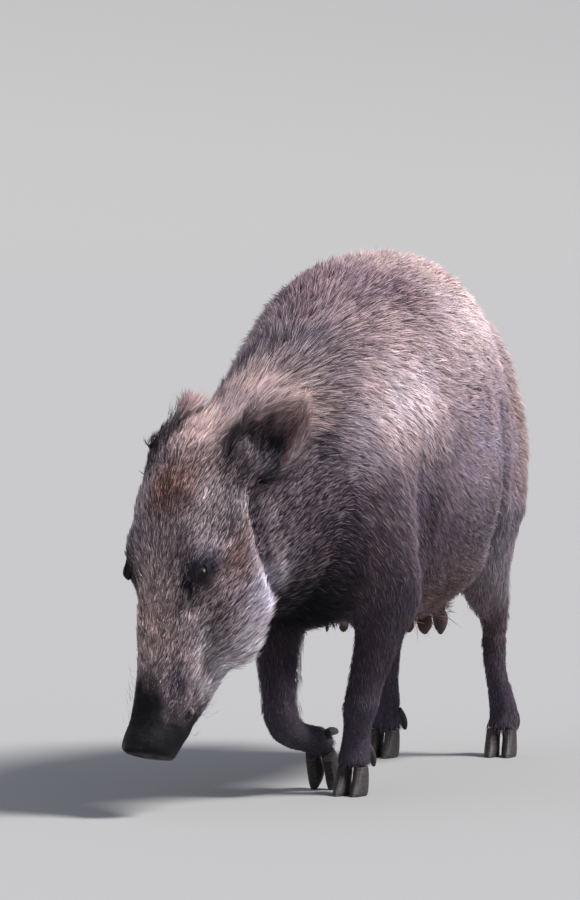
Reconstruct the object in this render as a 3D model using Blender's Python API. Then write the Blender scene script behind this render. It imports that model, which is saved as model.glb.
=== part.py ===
"""A wild boar sow at life size, head low and nosing at the ground, one forefoot folded back.

The flesh is built as lofted limbs and muscles, fused into one closed body, relaxed, and then parted
by thin cuts into named pieces. Ears, eyes, hooves, dewclaws and tusks are solids of their own, each
let into the flesh with a small gap.

Row frame: +Z up, the sow faces -Y and her left side is +X. Metres.
"""

import math
from collections import namedtuple

import bmesh
import bpy
import numpy as np
from mathutils import Matrix, Vector

# Driving dimensions -------------------------------------------------------------------------------
BACK_HEIGHT = 0.752          # ground to the top of the back, coat included
BELLY_HEIGHT = 0.225         # ground to the belly
TRUNK_HALF_WIDTH = 0.183     # widest, at the belly
HEAD_LENGTH = 0.395          # poll to the front of the snout disc
HEAD_PITCH = math.radians(75)    # how steeply the face points at the ground
HEAD_TURN = math.radians(22)     # how far the head turns to the sow's right
POLL = Vector((-0.095, -0.530, 0.462))
EYE_RADIUS = 0.0125
EYE_ALONG = 0.145            # poll to eye, along the face
EYE_ASIDE = 0.0610           # midline to the eye's centre
EYE_OUT = 0.0270             # face axis to the eye's centre
EAR_LENGTH = 0.125
EAR_WIDTH = 0.088
EAR_THICKNESS = 0.008        # fur included
HOOF_HEIGHT = 0.040
HOOF_LENGTH = 0.046
CLAW_SPREAD = 0.0128         # foot's midline to the middle of each claw
BETWEEN_FORELEGS = 0.0155    # the plane that parts the left foreleg from the folded right one
GAP = 0.0004                 # between two touching solids
VOXEL = 0.0070               # size of the grid the flesh is fused on
FLESH_TRIANGLES = 2720       # about what the flesh is thinned out to, before it is parted

UP = Vector((0, 0, 1))
FORWARD = Vector((0, -1, 0))
LEFT = Vector((1, 0, 0))

# Where each foot stands: the middle of the sole.
FOOT_FORE_LEFT = Vector((0.043, -0.266, 0))
FOOT_HIND_LEFT = Vector((0.0865, 0.336, 0))
FOOT_HIND_RIGHT = Vector((-0.076, 0.276, 0))
# The folded forefoot touches the ground with its toe tips only.
TOES_FORE_RIGHT = Vector((-0.017, -0.193, 0))
TOES_RAISED = math.radians(52)
TOE_TIP_CUT = 0.0025         # height taken off the toe tips, to give them a flat to stand on

# A ring is one cross-section of a limb: its centre, its half-width to the side, and how far it
# reaches towards the limb's hint direction and away from it. square is 2 for an ellipse, more for a
# boxier section.
Ring = namedtuple("Ring", "at side up down square", defaults=(2.0,))


# Materials ----------------------------------------------------------------------------------------
def material(name, colour, roughness):
    found = bpy.data.materials.get(name)
    if found:
        return found
    made = bpy.data.materials.new(name)
    made.use_nodes = True
    shader = made.node_tree.nodes["Principled BSDF"]
    shader.inputs["Base Color"].default_value = (*colour, 1)
    shader.inputs["Roughness"].default_value = roughness
    shader.inputs["Metallic"].default_value = 0.0
    made.diffuse_color = (*colour, 1)
    return made


def coat():
    return material("coat", (0.16, 0.12, 0.10), 0.9)


def dark_coat():
    return material("dark_coat", (0.045, 0.038, 0.042), 0.85)


def bare_skin():
    return material("bare_skin", (0.05, 0.042, 0.046), 0.6)


def horn():
    return material("horn", (0.035, 0.03, 0.028), 0.45)


def eye_gloss():
    return material("eye_gloss", (0.02, 0.012, 0.008), 0.1)


def ivory():
    return material("ivory", (0.75, 0.70, 0.58), 0.35)


# Lofting ------------------------------------------------------------------------------------------
def smooth_rows(rows, between):
    """Rows of numbers, with more rows put between them along a Catmull-Rom curve."""
    rows = np.array(rows, float)
    padded = np.vstack([2 * rows[0] - rows[1], rows, 2 * rows[-1] - rows[-2]])
    out = []
    for i in range(1, len(padded) - 2):
        a, b, c, d = padded[i - 1 : i + 3]
        for t in np.arange(between) / between:
            out.append(
                0.5 * (2 * b + (c - a) * t + (2 * a - 5 * b + 4 * c - d) * t**2
                       + (3 * b - a - 3 * c + d) * t**3)
            )
    out.append(rows[-1])
    return np.array(out)


def power(value, exponent):
    return math.copysign(abs(value) ** exponent, value)


def loft(rings, hint, around=24, between=4, axis=None):
    """A closed bmesh through the rings. hint is the direction that each ring's up side faces.

    Each ring is square to the line of centres, or to the axis where one is given.
    """
    table = smooth_rows([[*r.at, r.side, r.up, r.down, r.square] for r in rings], between)
    centres = [Vector(row[:3]) for row in table]
    mesh = bmesh.new()
    loops = []
    for i, row in enumerate(table):
        ahead = centres[min(i + 1, len(centres) - 1)]
        behind = centres[max(i - 1, 0)]
        tangent = axis or (ahead - behind).normalized()
        left = hint.cross(tangent).normalized()
        up = tangent.cross(left)
        side, reach_up, reach_down, square = np.maximum(row[3:], 0.0015)
        loop = []
        for k in range(around):
            turn = 2 * math.pi * k / around
            across = side * power(math.cos(turn), 2 / square)
            reach = reach_up if math.sin(turn) > 0 else reach_down
            along = reach * power(math.sin(turn), 2 / square)
            loop.append(mesh.verts.new(centres[i] + left * across + up * along))
        loops.append(loop)
    for first, second in zip(loops, loops[1:]):
        for k in range(around):
            mesh.faces.new((first[k], first[k - 1], second[k - 1], second[k]))
    mesh.faces.new(loops[0])
    mesh.faces.new(loops[-1][::-1])
    return facing_out(mesh)


def facing_out(mesh):
    """The closed mesh with every face turned outwards."""
    bmesh.ops.recalc_face_normals(mesh, faces=mesh.faces)
    if mesh.calc_volume(signed=True) < 0:
        bmesh.ops.reverse_faces(mesh, faces=mesh.faces)
    return mesh


def ellipsoid(at, radii, turn=(0, 0, 0), cuts=3):
    """An ellipsoid of the given half-sizes, turned by degrees about X, Y and Z."""
    mesh = bmesh.new()
    bmesh.ops.create_icosphere(mesh, subdivisions=cuts, radius=1)
    x, y, z = (math.radians(v) for v in turn)
    spin = Matrix.Rotation(z, 4, "Z") @ Matrix.Rotation(y, 4, "Y") @ Matrix.Rotation(x, 4, "X")
    size = Matrix.Diagonal((*radii, 1))
    bmesh.ops.transform(mesh, matrix=Matrix.Translation(at) @ spin @ size, verts=mesh.verts)
    return mesh


# Objects and modifiers ----------------------------------------------------------------------------
def add_object(name, mesh, finish):
    """A scene object from a bmesh, which is used up."""
    data = bpy.data.meshes.new(name)
    mesh.to_mesh(data)
    mesh.free()
    data.materials.append(finish)
    made = bpy.data.objects.new(name, data)
    bpy.context.scene.collection.objects.link(made)
    return made


def joined(meshes):
    """One bmesh from several, which are used up."""
    whole = bmesh.new()
    for mesh in meshes:
        data = bpy.data.meshes.new("piece")
        mesh.to_mesh(data)
        mesh.free()
        whole.from_mesh(data)
        bpy.data.meshes.remove(data)
    return whole


def settle(target):
    """Puts the result of the object's modifiers in place of its mesh."""
    graph = bpy.context.evaluated_depsgraph_get()
    made = bpy.data.meshes.new_from_object(target.evaluated_get(graph))
    old = target.data
    target.modifiers.clear()
    target.data = made
    bpy.data.meshes.remove(old)


def combine(target, tool, operation):
    """Joins, intersects or cuts the target with a closed bmesh, which is used up."""
    cutter = add_object("cutter", tool, coat())
    join = target.modifiers.new(operation.lower(), "BOOLEAN")
    join.object = cutter
    join.operation = operation
    join.solver = "MANIFOLD"
    settle(target)
    bpy.data.objects.remove(cutter)


def swollen(source, amount):
    """A copy of an object's mesh, grown by the amount along its normals."""
    mesh = bmesh.new()
    mesh.from_mesh(source.data)
    mesh.normal_update()
    for vert in mesh.verts:
        vert.co += vert.normal * vert.calc_shell_factor() * amount
    return mesh


def block(planes, margin=0.0):
    """The closed convex block inside every (point, outward direction) plane."""
    mesh = bmesh.new()
    bmesh.ops.create_cube(mesh, size=4)
    for point, outward in planes:
        outward = Vector(outward).normalized()
        cut = bmesh.ops.bisect_plane(
            mesh,
            geom=mesh.verts[:] + mesh.edges[:] + mesh.faces[:],
            plane_co=Vector(point) + outward * margin,
            plane_no=outward,
            clear_outer=True,
        )
        rim = [found for found in cut["geom_cut"] if isinstance(found, bmesh.types.BMEdge)]
        bmesh.ops.edgeloop_fill(mesh, edges=rim)
    return facing_out(mesh)


def part_off(rest, name, planes):
    """Moves what lies inside the planes from rest to a new object, across a thin gap."""
    piece = rest.copy()
    piece.data = rest.data.copy()
    piece.name = name
    bpy.context.scene.collection.objects.link(piece)
    combine(piece, block(planes), "INTERSECT")
    combine(rest, block(planes, GAP), "DIFFERENCE")
    drop_crumbs(piece)
    return piece


def drop_crumbs(target):
    """Keeps only the largest body of an object's mesh, without the crumbs that a cut leaves."""
    mesh = bmesh.new()
    mesh.from_mesh(target.data)
    unseen = set(mesh.verts)
    bodies = []
    while unseen:
        edge_of_body = [unseen.pop()]
        body = set(edge_of_body)
        while edge_of_body:
            for edge in edge_of_body.pop().link_edges:
                for vert in unseen.intersection(edge.verts):
                    unseen.remove(vert)
                    body.add(vert)
                    edge_of_body.append(vert)
        bodies.append(body)
    bodies.sort(key=len)
    crumbs = [vert for body in bodies[:-1] for vert in body]
    bmesh.ops.delete(mesh, geom=crumbs, context="VERTS")
    mesh.to_mesh(target.data)
    mesh.free()


# The head's own frame -----------------------------------------------------------------------------
HEADING = Vector((-math.sin(HEAD_TURN), -math.cos(HEAD_TURN), 0))
SNOUTWARD = HEADING * math.cos(HEAD_PITCH) - UP * math.sin(HEAD_PITCH)
CROWNWARD = HEADING * math.sin(HEAD_PITCH) + UP * math.cos(HEAD_PITCH)
LEFTWARD = UP.cross(HEADING)
HEAD_AXES = Matrix((LEFTWARD, SNOUTWARD, CROWNWARD)).transposed()


def on_head(left, along, out):
    """A point given to the left of the face's midline, along it from the poll, and out of it."""
    return POLL + HEAD_AXES @ Vector((left, along, out))


# The limbs ----------------------------------------------------------------------------------------
def trunk_and_neck():
    """From the buttocks along the back, over the shoulders and down the bent neck."""
    widest = 0.465
    up = BACK_HEIGHT - widest
    down = widest - BELLY_HEIGHT
    side = TRUNK_HALF_WIDTH
    return loft(
        [
            Ring((0, 0.412, 0.525), 0.042, 0.064, 0.070),
            Ring((0, 0.378, 0.518), 0.088, 0.125, 0.120, 2.05),
            Ring((0, 0.305, 0.500), 0.122, 0.188, 0.165, 2.1),
            Ring((0, 0.210, 0.480), 0.141, 0.245, 0.195, 2.15),
            Ring((0, 0.090, widest), side - 0.011, up - 0.002, down - 0.008, 2.15),
            Ring((0, -0.060, widest), side, up, down, 2.1),
            Ring((0, -0.190, 0.462), 0.163, 0.272, 0.226, 2.1),
            Ring((-0.008, -0.300, 0.450), 0.138, 0.232, 0.212, 2.1),
            Ring((-0.030, -0.390, 0.430), 0.114, 0.184, 0.180, 2.05),
            Ring((-0.062, -0.465, 0.400), 0.100, 0.140, 0.160, 2.0),
            Ring((-0.090, -0.520, 0.366), 0.088, 0.098, 0.130, 2.0),
        ],
        UP,
        around=36,
    )


def head():
    """A long wedge with a straight profile, deep cheeks and a narrow snout that flares at its disc."""
    length = HEAD_LENGTH
    profile = [
        # along the face, half-width, up to the profile line, down to the jaw, squareness
        (-0.072, 0.050, 0.010, 0.080, 2.0),
        (-0.030, 0.074, 0.036, 0.120, 2.0),
        (0.030, 0.088, 0.055, 0.145, 2.0),
        (0.085, 0.090, 0.059, 0.155, 2.0),
        (0.140, 0.078, 0.053, 0.152, 2.0),
        (0.195, 0.059, 0.044, 0.134, 2.0),
        (0.250, 0.046, 0.038, 0.110, 2.05),
        (0.305, 0.040, 0.034, 0.085, 2.15),
        (0.350, 0.037, 0.035, 0.061, 2.25),
        (length - 0.012, 0.038, 0.040, 0.038, 2.2),
        (length, 0.037, 0.041, 0.031, 2.2),
    ]
    rings = [
        Ring(on_head(0, along, 0), side, up, down, square)
        for along, side, up, down, square in profile
    ]
    return loft(rings, CROWNWARD, around=32)


def head_mass(left, along, out, radii, cuts=3):
    """An ellipsoid laid along the head's own axes."""
    mesh = ellipsoid((0, 0, 0), radii, cuts=cuts)
    place = Matrix.Translation(on_head(left, along, out)) @ HEAD_AXES.to_4x4()
    bmesh.ops.transform(mesh, matrix=place, verts=mesh.verts)
    return facing_out(mesh)


def leg(rings):
    return loft(rings, FORWARD, around=20)


def foreleg_left():
    foot = FOOT_FORE_LEFT
    return leg(
        [
            Ring((0.088, -0.235, 0.500), 0.045, 0.085, 0.085),
            Ring((0.098, -0.240, 0.400), 0.050, 0.088, 0.085),
            Ring((0.094, -0.240, 0.300), 0.048, 0.068, 0.080),
            Ring((0.078, -0.243, 0.235), 0.038, 0.045, 0.055),
            Ring((0.063, -0.250, 0.175), 0.030, 0.034, 0.036),
            Ring((0.053, -0.256, 0.128), 0.027, 0.030, 0.029),
            Ring((0.047, -0.254, 0.088), 0.021, 0.022, 0.022),
            Ring(foot + Vector((0.001, 0.014, 0.058)), 0.0235, 0.024, 0.026),
            Ring(foot + Vector((0, 0.004, 0.036)), 0.0245, 0.022, 0.022),
            Ring(foot + Vector((0, 0.000, 0.026)), 0.0210, 0.016, 0.016),
        ]
    )


def foreleg_right():
    """Folded at the wrist, so that the cannon points back and the toes hang to the ground."""
    toes = TOES_FORE_RIGHT
    upper = leg(
        [
            Ring((-0.080, -0.245, 0.480), 0.045, 0.085, 0.085),
            Ring((-0.085, -0.258, 0.380), 0.048, 0.082, 0.085),
            Ring((-0.070, -0.275, 0.280), 0.045, 0.062, 0.070),
            Ring((-0.056, -0.300, 0.200), 0.034, 0.040, 0.043),
            Ring((-0.047, -0.322, 0.145), 0.028, 0.030, 0.032),
            Ring((-0.041, -0.326, 0.108), 0.026, 0.026, 0.028),
            Ring((-0.036, -0.315, 0.082), 0.020, 0.020, 0.021),
        ]
    )
    lower = loft(
        [
            Ring((-0.039, -0.328, 0.104), 0.022, 0.020, 0.023),
            Ring((-0.035, -0.298, 0.088), 0.023, 0.023, 0.024),
            Ring((-0.028, -0.255, 0.078), 0.021, 0.021, 0.022),
            Ring(toes + Vector((-0.003, -0.024, 0.069)), 0.023, 0.023, 0.024),
            Ring(toes + Vector((-0.001, -0.009, 0.052)), 0.0235, 0.020, 0.022),
            Ring(toes + Vector((0.000, -0.005, 0.038)), 0.0200, 0.014, 0.016),
        ],
        Vector((0, 0.25, 1)),
        around=20,
    )
    return [upper, lower]


def hindleg(side, hip, knee, hock, foot):
    """side is 1 on the left and -1 on the right; the rest are joint places."""
    hip, knee, hock = (Vector(place) for place in (hip, knee, hock))
    thigh = (hip + knee) / 2
    return leg(
        [
            Ring(hip + UP * 0.08, 0.045, 0.110, 0.110),
            Ring(hip, 0.052, 0.135, 0.128),
            Ring(thigh + Vector((side * 0.006, 0.022, 0)), 0.052, 0.125, 0.122),
            Ring(knee + Vector((0, 0.046, -0.005)), 0.044, 0.096, 0.108),
            Ring(knee.lerp(hock, 0.50), 0.033, 0.058, 0.072),
            Ring(hock + UP * 0.026, 0.024, 0.030, 0.040),
            Ring(hock, 0.0225, 0.025, 0.032),
            Ring(hock.lerp(foot, 0.35), 0.0180, 0.021, 0.022),
            Ring(foot + Vector((0, 0.018, 0.062)), 0.0220, 0.023, 0.025),
            Ring(foot + Vector((0, 0.005, 0.037)), 0.0240, 0.021, 0.021),
            Ring(foot + Vector((0, 0.001, 0.027)), 0.0205, 0.015, 0.015),
        ]
    )


def hindleg_left():
    return hindleg(
        1, (0.074, 0.265, 0.475), (0.090, 0.185, 0.345), (0.074, 0.336, 0.195), FOOT_HIND_LEFT
    )


def hindleg_right():
    return hindleg(
        -1, (-0.074, 0.255, 0.475), (-0.090, 0.160, 0.345), (-0.076, 0.310, 0.190), FOOT_HIND_RIGHT
    )


def muscles():
    """Soft masses that swell the lofts: belly, brisket, shoulders, haunches, cheeks and brows."""
    shapes = [
        ellipsoid((0, 0.030, 0.340), (0.150, 0.250, 0.115)),
        ellipsoid((0, 0.110, 0.290), (0.090, 0.150, 0.060)),
        ellipsoid((0, -0.300, 0.330), (0.085, 0.110, 0.100)),
    ]
    for side in (1, -1):
        shapes += [
            ellipsoid((side * 0.098, -0.215, 0.480), (0.062, 0.110, 0.170), (-14, 0, 0)),
            ellipsoid((side * 0.092, -0.275, 0.390), (0.052, 0.085, 0.100)),
            ellipsoid((side * 0.084, 0.262, 0.445), (0.057, 0.108, 0.150), (14, 0, 0)),
            head_mass(side * 0.046, 0.150, -0.060, (0.038, 0.095, 0.070)),
            head_mass(side * 0.048, 0.108, 0.026, (0.030, 0.050, 0.026)),
            head_mass(side * 0.032, 0.165, -0.098, (0.030, 0.070, 0.040)),
            head_mass(side * 0.066, -0.010, -0.010, (0.030, 0.040, 0.036)),
        ]
    return shapes


def tail():
    """A thin tail that hangs behind the thighs and ends in a tuft."""
    return loft(
        [
            Ring((0.000, 0.372, 0.610), 0.022, 0.022, 0.022),
            Ring((0.002, 0.416, 0.590), 0.016, 0.016, 0.016),
            Ring((0.006, 0.446, 0.535), 0.012, 0.013, 0.012),
            Ring((0.010, 0.455, 0.465), 0.010, 0.011, 0.011),
            Ring((0.012, 0.454, 0.405), 0.014, 0.015, 0.015),
            Ring((0.012, 0.450, 0.355), 0.012, 0.013, 0.013),
            Ring((0.012, 0.447, 0.318), 0.004, 0.005, 0.005),
        ],
        Vector((0, 1, 0.4)),
        around=12,
    )


TEATS = {1: (0.165, 0.085, 0.005, -0.080), -1: (0.135, 0.055, -0.025, -0.105)}


def teats():
    """Two rows of teats, the hind ones longest."""
    made = []
    for side, rows in TEATS.items():
        for order, y in enumerate(rows):
            long = 0.052 - 0.007 * order
            wide = 0.0092 - 0.0008 * order
            root = Vector((side * 0.044, y, BELLY_HEIGHT + 0.018))
            tip = root - UP * long
            made.append(
                loft(
                    [
                        Ring(root, wide * 1.9, wide * 2.0, wide * 2.0),
                        Ring(root.lerp(tip, 0.40), wide * 1.1, wide * 1.1, wide * 1.1),
                        Ring(root.lerp(tip, 0.80), wide * 0.85, wide * 0.85, wide * 0.85),
                        Ring(tip, wide * 0.4, wide * 0.4, wide * 0.4),
                    ],
                    FORWARD,
                    around=8,
                    between=1,
                )
            )
    return made


# Solids let into the flesh ------------------------------------------------------------------------
def ear(side):
    """A pointed leaf, rolled into a cup at its root, swept up and back with its hollow outwards."""
    root = on_head(side * 0.082, -0.020, -0.010)
    lift = Vector((0.36, -0.86, -0.36)) if side > 0 else Vector((-0.14, -0.82, -0.54))
    lift = lift.normalized()
    opens = Vector((side * 0.78, -0.05, 0.62))
    opens = (opens - lift * opens.dot(lift)).normalized()
    across = lift.cross(opens)
    lift, opens, across = (HEAD_AXES @ v for v in (lift, opens, across))
    rows, columns = 9, 7
    mesh = bmesh.new()
    grid = []
    for i in range(rows):
        u = i / (rows - 1)
        outline = (0.72 + 1.10 * u - 0.70 * u**2) * (1 - u**2.6) ** 0.66
        half = 0.5 * EAR_WIDTH * max(outline, 0.10)
        wrap = math.radians(80 - 42 * u)
        radius = half / math.sin(wrap)
        middle = root + lift * (EAR_LENGTH * (u - 0.12)) - opens * (0.012 * math.sin(math.pi * u))
        row = []
        for k in range(columns):
            turn = wrap * (2 * k / (columns - 1) - 1)
            offset = across * (radius * math.sin(turn)) + opens * (radius * (1 - math.cos(turn)))
            row.append(mesh.verts.new(middle + offset - opens * radius * 0.30))
        grid.append(row)
    for i in range(rows - 1):
        for k in range(columns - 1):
            mesh.faces.new((grid[i][k], grid[i][k + 1], grid[i + 1][k + 1], grid[i + 1][k]))
    made = add_object("ear_left" if side > 0 else "ear_right", mesh, coat())
    thicken = made.modifiers.new("thicken", "SOLIDIFY")
    thicken.thickness = EAR_THICKNESS
    thicken.offset = 0
    thicken.use_even_offset = False
    settle(made)
    turned = bmesh.new()
    turned.from_mesh(made.data)
    facing_out(turned).to_mesh(made.data)
    turned.free()
    return made


def eyes():
    made = []
    for side, name in ((1, "eye_left"), (-1, "eye_right")):
        centre = on_head(side * EYE_ASIDE, EYE_ALONG, EYE_OUT)
        made.append(add_object(name, ellipsoid(centre, (EYE_RADIUS,) * 3), eye_gloss()))
    return made


def tusks():
    """The sow's small lower tusks, which just lift her lip."""
    made = []
    for side, name in ((1, "tusk_left"), (-1, "tusk_right")):
        mesh = loft(
            [
                Ring(on_head(side * 0.028, 0.322, -0.040), 0.0040, 0.0045, 0.0045),
                Ring(on_head(side * 0.035, 0.324, -0.032), 0.0036, 0.0040, 0.0040),
                Ring(on_head(side * 0.040, 0.323, -0.025), 0.0026, 0.0030, 0.0030),
                Ring(on_head(side * 0.043, 0.320, -0.019), 0.0010, 0.0012, 0.0012),
            ],
            SNOUTWARD,
            around=6,
            between=2,
        )
        made.append(add_object(name, mesh, ivory()))
    return made


def claw(side):
    """One claw of a cloven hoof, its sole on z = 0 and its toe towards -Y."""
    high = HOOF_HEIGHT
    long = HOOF_LENGTH
    wide = CLAW_SPREAD - 0.0010
    across = side * CLAW_SPREAD
    return loft(
        [
            Ring((across, -0.004, 0), wide * 0.92, long * 0.62, long * 0.38, 1.8),
            Ring((across, -0.002, high * 0.14), wide, long * 0.60, long * 0.40, 1.8),
            Ring((across, 0.003, high * 0.56), wide * 0.93, long * 0.44, long * 0.34, 1.9),
            Ring((side * 0.0118, 0.006, high), wide * 0.88, long * 0.30, long * 0.28, 2),
        ],
        FORWARD,
        around=12,
        between=1,
        axis=UP,
    )


def dewclaw(side):
    """A small claw behind the pastern, pointing down and back."""
    return loft(
        [
            Ring((side * 0.0140, 0.022, 0.068), 0.0060, 0.0060, 0.0060),
            Ring((side * 0.0155, 0.032, 0.058), 0.0074, 0.0070, 0.0070),
            Ring((side * 0.0165, 0.040, 0.046), 0.0062, 0.0055, 0.0055),
            Ring((side * 0.0165, 0.043, 0.037), 0.0024, 0.0022, 0.0022),
        ],
        FORWARD,
        around=7,
        between=1,
    )


def above_ground(mesh):
    """The mesh without what lies under z = 0, closed with a flat face there."""
    cut = bmesh.ops.bisect_plane(
        mesh,
        geom=mesh.verts[:] + mesh.edges[:] + mesh.faces[:],
        plane_co=(0, 0, 0),
        plane_no=-UP,
        clear_outer=True,
    )
    rim = [found for found in cut["geom_cut"] if isinstance(found, bmesh.types.BMEdge)]
    bmesh.ops.edgeloop_fill(mesh, edges=rim)
    return facing_out(mesh)


def toe_tip_lift():
    """How far the toes of a raised foot must rise for their tips to be cut just flat."""
    reach = 0.004 + HOOF_LENGTH * 0.62
    return reach * math.sin(TOES_RAISED) - TOE_TIP_CUT


def foot_places():
    """Each foot's name and the matrix that moves it from the origin to its place."""
    tiptoe = TOES_FORE_RIGHT + UP * toe_tip_lift()
    places = {"fore_right": Matrix.Translation(tiptoe) @ Matrix.Rotation(TOES_RAISED, 4, "X")}
    for name, at, yaw in (
        ("fore_left", FOOT_FORE_LEFT, -4),
        ("hind_left", FOOT_HIND_LEFT, 6),
        ("hind_right", FOOT_HIND_RIGHT, -6),
    ):
        places[name] = Matrix.Translation(at) @ Matrix.Rotation(math.radians(yaw), 4, "Z")
    return places


def claws(kind, shape):
    """The left and right one of such a claw on every foot."""
    made = []
    for name, place in foot_places().items():
        for side, word in ((1, "left"), (-1, "right")):
            mesh = shape(side)
            bmesh.ops.transform(mesh, matrix=place, verts=mesh.verts)
            if shape is claw and name == "fore_right":
                mesh = above_ground(mesh)
            made.append(add_object(f"{kind}_{name}_{word}", mesh, horn()))
    return made


def coronet_cutters():
    """A block under each foot's coronet, where the flesh ends and the hoof begins."""
    made = []
    for place in foot_places().values():
        mesh = bmesh.new()
        bmesh.ops.create_cube(mesh, size=0.1)
        as_wide_as_a_foot = Matrix.Diagonal((0.6, 1, 1, 1))
        top_at_coronet = Matrix.Translation((0, 0, HOOF_HEIGHT + GAP - 0.05))
        bmesh.ops.transform(mesh, matrix=place @ top_at_coronet @ as_wide_as_a_foot, verts=mesh.verts)
        made.append(mesh)
    return made


# The flesh ----------------------------------------------------------------------------------------
def weight_group(target, name, rule):
    """A vertex group with the weight that rule gives for each point."""
    group = target.vertex_groups.new(name=name)
    for vert in target.data.vertices:
        group.add([vert.index], rule(vert.co), "REPLACE")
    return group.name


def breadth(at):
    """1 on the trunk and neck, less on the head, the lower legs and the tail."""
    legs = min(max((at.z - 0.16) / 0.12, 0.15), 1)
    from_snout = (at - on_head(0, HEAD_LENGTH, 0)).length
    face = min(max((from_snout - 0.15) / 0.25, 0.15), 1)
    behind = 0.15 if at.y > 0.425 else 1
    return min(legs, face, behind)


def fused_flesh():
    """Every limb and muscle as one closed body, relaxed most where the real one is broadest."""
    limbs = [
        trunk_and_neck(),
        head(),
        foreleg_left(),
        *foreleg_right(),
        hindleg_left(),
        hindleg_right(),
        tail(),
        *muscles(),
    ]
    body = add_object("trunk", joined(limbs), coat())
    fuse = body.modifiers.new("fuse", "REMESH")
    fuse.mode = "VOXEL"
    fuse.voxel_size = VOXEL
    settle(body)
    relax = body.modifiers.new("relax", "SMOOTH")
    relax.factor = 0.5
    relax.iterations = 24
    relax.vertex_group = weight_group(body, "broad", breadth)
    settle(body)
    thin_out = body.modifiers.new("thin_out", "DECIMATE")
    thin_out.ratio = FLESH_TRIANGLES / (2 * len(body.data.polygons))
    thin_out.vertex_group = weight_group(body, "fine", lambda at: 1 - breadth(at))
    thin_out.invert_vertex_group = True
    thin_out.vertex_group_factor = 0.08
    settle(body)
    combine(body, joined(teats()), "UNION")
    return body


def nostrils():
    return [
        head_mass(side * 0.0145, HEAD_LENGTH, 0.006, (0.0062, 0.014, 0.0080), cuts=2)
        for side in (1, -1)
    ]


def leg_regions():
    """For each leg, the planes that bound it: inner, the slant to the shoulder or hip, fore and aft."""
    made = []
    for side, name in ((1, "left"), (-1, "right")):
        fore = [
            ((BETWEEN_FORELEGS, 0, 0), (-side, 0, 0)),
            ((side * 0.045, 0, 0.245), (-side * 0.66, 0, 0.75)),
            ((0, -0.372, 0.100), (0, -1, 0.15)),
            ((0, -0.148, 0.250), (0, 1, 0.12)),
        ]
        hind = [
            ((side * 0.064, 0, 0.220), (-side, 0, 0.11)),
            ((side * 0.064, 0, 0.262), (-side * 0.86, 0, 0.50)),
            ((0, 0.120, 0.290), (0, -0.90, 0.42)),
        ]
        made.append((f"foreleg_{name}", fore, 0.135 if side > 0 else 0.122))
        made.append((f"hindleg_{name}", hind, 0.185))
    return made


def parted(body):
    """The flesh in its named pieces, divided by thin cuts. What is left over is the trunk."""
    pieces = []
    for name, planes, split in leg_regions():
        below = ((0, 0, split), UP)
        pieces.append(part_off(body, f"{name}_lower", [*planes, below]))
        pieces.append(part_off(body, f"{name}_upper", planes))
    head_planes = [
        (on_head(0, -0.045, 0), -SNOUTWARD),
        (on_head(0, 0, -0.185), -CROWNWARD),
    ]
    snout = [*head_planes, (on_head(0, HEAD_LENGTH - 0.040, 0), -SNOUTWARD + CROWNWARD * 0.25)]
    mouth = (on_head(0, 0.318, -0.030), CROWNWARD + SNOUTWARD * -0.12)
    pieces.append(part_off(body, "snout", snout))
    pieces.append(part_off(body, "lower_jaw", [*head_planes, mouth, (on_head(0, 0.12, 0), -SNOUTWARD)]))
    pieces.append(part_off(body, "head", head_planes))
    pieces.append(part_off(body, "neck", [((0, -0.345, 0.400), (0.10, 1, 0.25))]))
    pieces.append(part_off(body, "tail", [((0, 0.424, 0.560), (0, -1, -0.10))]))
    drop_crumbs(body)
    return pieces


# The whole sow ------------------------------------------------------------------------------------
def finish_for(name):
    if name == "snout":
        return bare_skin()
    return dark_coat() if name.endswith("_lower") or name == "tail" else coat()


def clear_scene():
    for found in list(bpy.data.objects):
        bpy.data.objects.remove(found, do_unlink=True)


def centre_on_floor(objects):
    """Moves the sow so that the origin is under the middle of her box."""
    points = np.array([corner.co for found in objects for corner in found.data.vertices])
    middle = (points.min(axis=0) + points.max(axis=0)) / 2
    shift = Matrix.Translation((-middle[0], -middle[1], 0))
    for found in objects:
        found.data.transform(shift)


def main():
    clear_scene()
    body = fused_flesh()
    let_in = [ear(1), ear(-1), *eyes(), *tusks(), *claws("dewclaw", dewclaw)]
    sockets = [swollen(found, GAP) for found in let_in]
    for cutter in [joined([*sockets, *nostrils()]), *coronet_cutters()]:
        combine(body, cutter, "DIFFERENCE")
    pieces = parted(body)
    small = [*let_in, *claws("hoof", claw)]
    for found in [body, *pieces]:
        found.data.materials.clear()
        found.data.materials.append(finish_for(found.name))
    everything = [body, *pieces, *small]
    centre_on_floor(everything)
    for found in everything:
        found.data.shade_smooth()
        found.data.set_sharp_from_angle(angle=math.radians(60))


main()
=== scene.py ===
"""The looks of a still wild boar sow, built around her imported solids.

One skin is fused from the flesh nodes, relaxed, drawn in by the depth of the coat and sculpted. The
coat is tufts of solid mesh that grow from that skin and follow the lie of the hair. Skin and tufts
take their colours from one function of place. Metres, +Z up, the sow faces -Y, her left side is +X.
"""

import itertools
import math
from collections import namedtuple

import bmesh
import bpy
import numpy as np
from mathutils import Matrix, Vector
from mathutils.bvhtree import BVHTree
from mathutils.kdtree import KDTree

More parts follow.
